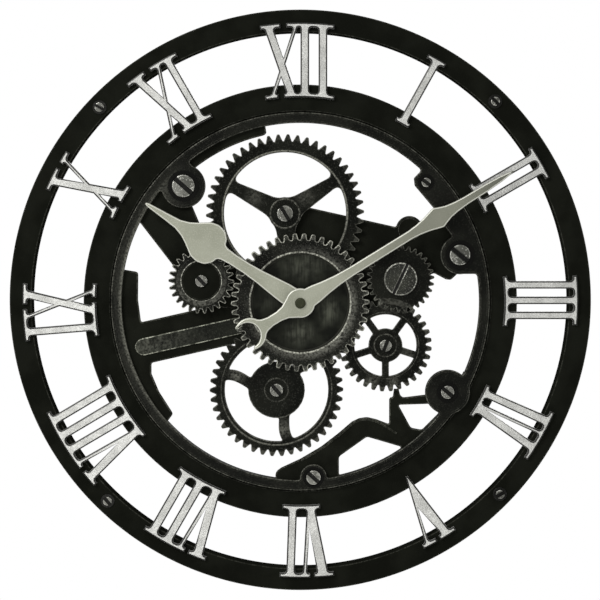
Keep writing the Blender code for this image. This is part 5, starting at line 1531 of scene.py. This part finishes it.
minute_blade = hand_outline(
    [(0.0, 12.0), (20.0, 10.0), (32.0, 7.8), (48.0, 5.9), (66.0, 5.1), (140.0, 4.9), (150.0, 5.8)]
    + [(160.0, 7.6), (175.6, 12.0), (180.0, 10.0), (188.0, 7.2), (197.0, 5.6), (210.0, 4.6)]
    + [(236.0, 4.2), (254.0, 3.2), (265.0, 1.8), (272.6, 0.0)],
    MINUTE_BEARING,
)
tail = [(half, along) for along, half in TAIL] + [(-half, along) for along, half in TAIL[::-1]]
mouth = [(0.0, MOUTH), (-22.7, MOUTH - 13.1), (-22.0, MOUTH - 40), (26.0, MOUTH - 40), (26.6, MOUTH - 2.2)]
minute_sheet = slab(
    [minute_blade, disc(HUB_R, 72), disc(WRENCH_R, 72, polar(WRENCH, MINUTE_BEARING))]
    + [turned_by(rounded(tail, 8.0, 5), MINUTE_BEARING)],
    [disc(ARBOR_BORE, 16), disc(MOUTH_R, 64, polar(MOUTH, MINUTE_BEARING)), turned_by(mouth, MINUTE_BEARING)],
    MINUTE_REAR,
    MINUTE_FRONT,
    HAND_EDGE,
)
make("stamped_minute_hand", champagne, [minute_sheet], "minute_hand", "minute_group")
CAP_R = 5.8
cap_profile = rounded(
    [(0.0, MINUTE_FRONT + FIT), (CAP_R, MINUTE_FRONT + FIT), (CAP_R, MINUTE_FRONT + 1.6)]
    + [(CAP_R - 1.6, MINUTE_FRONT + 3.0), (0.0, MINUTE_FRONT + 3.5)],
    0.8,
    4,
    False,
)
nut_metal = worked_metal(
    "dark_pewter",
    {"Metallic": 0.1, "Specular IOR Level": 0.1},
    deep=(0.026, 0.029, 0.015), pale=(0.042, 0.046, 0.025), worn_and_highlight=(0.16, 0.165, 0.11),
    edge_share=0.12, speck=0.10, roughness=0.45, lump=0.05,
)
make("turned_hand_nut", nut_metal, [lathe(cap_profile, 64)], "hand_nut", "minute_group")

# Keyhole plate: a strip of plated steel across the back of the outer ring, behind twelve o'clock.
# A nail's head goes through the round hole and the shank up into the slot.
HANGER_REAR = 1.0
HANGER = 1.6
HANGER_SPAN = 6.5
KEYHOLE_R = 4.0
KEY_SLOT = 4.6
KEY_SLOT_LENGTH = 8.0
hanger_inner = inner_wall + 0.4
hanger_outer = outer_wall * math.cos(math.pi / 60) - FIT
keyhole = (0.0, (hanger_inner + hanger_outer) / 2 - 3.0)
slot_top = keyhole[1] + KEY_SLOT_LENGTH
key_slot = [(-KEY_SLOT / 2, keyhole[1]), (KEY_SLOT / 2, keyhole[1])]
key_slot += [(KEY_SLOT / 2, slot_top), (-KEY_SLOT / 2, slot_top)]
hanger = slab(
    [band(hanger_inner, hanger_outer, -HANGER_SPAN, HANGER_SPAN, 12)],
    [disc(KEYHOLE_R, 40, keyhole), key_slot],
    HANGER_REAR,
    HANGER_REAR + HANGER,
    0.3,
    2,
)
make("punched_hanger_plate", steel, [hanger], "hanger_plate")

# Floor: a plain pale sheet far below the clock, which hangs at its own height.
# It is part of the studio and not of the clock.
floor_mesh = bmesh.new()
bmesh.ops.create_grid(floor_mesh, x_segments=1, y_segments=1, size=1.6)
bmesh.ops.translate(floor_mesh, verts=floor_mesh.verts, vec=(0.0, 0.0, -1.1))
sheet = bpy.data.meshes.new("floor")
floor_mesh.to_mesh(sheet)
floor_mesh.free()
floor = bpy.data.objects.new("floor", sheet)
bpy.context.scene.collection.objects.link(floor)
pale = Finish("floor", {"Metallic": 0.0})
pale.wear(
    pale.mix(pale.grain(60.0), (0.80, 0.80, 0.79), (0.84, 0.84, 0.83)),
    pale.grain(20.0) * 0.1 + 0.6,
    pale.relief(pale.grain(3.0), 0.05),
)
sheet.materials.append(pale.material)
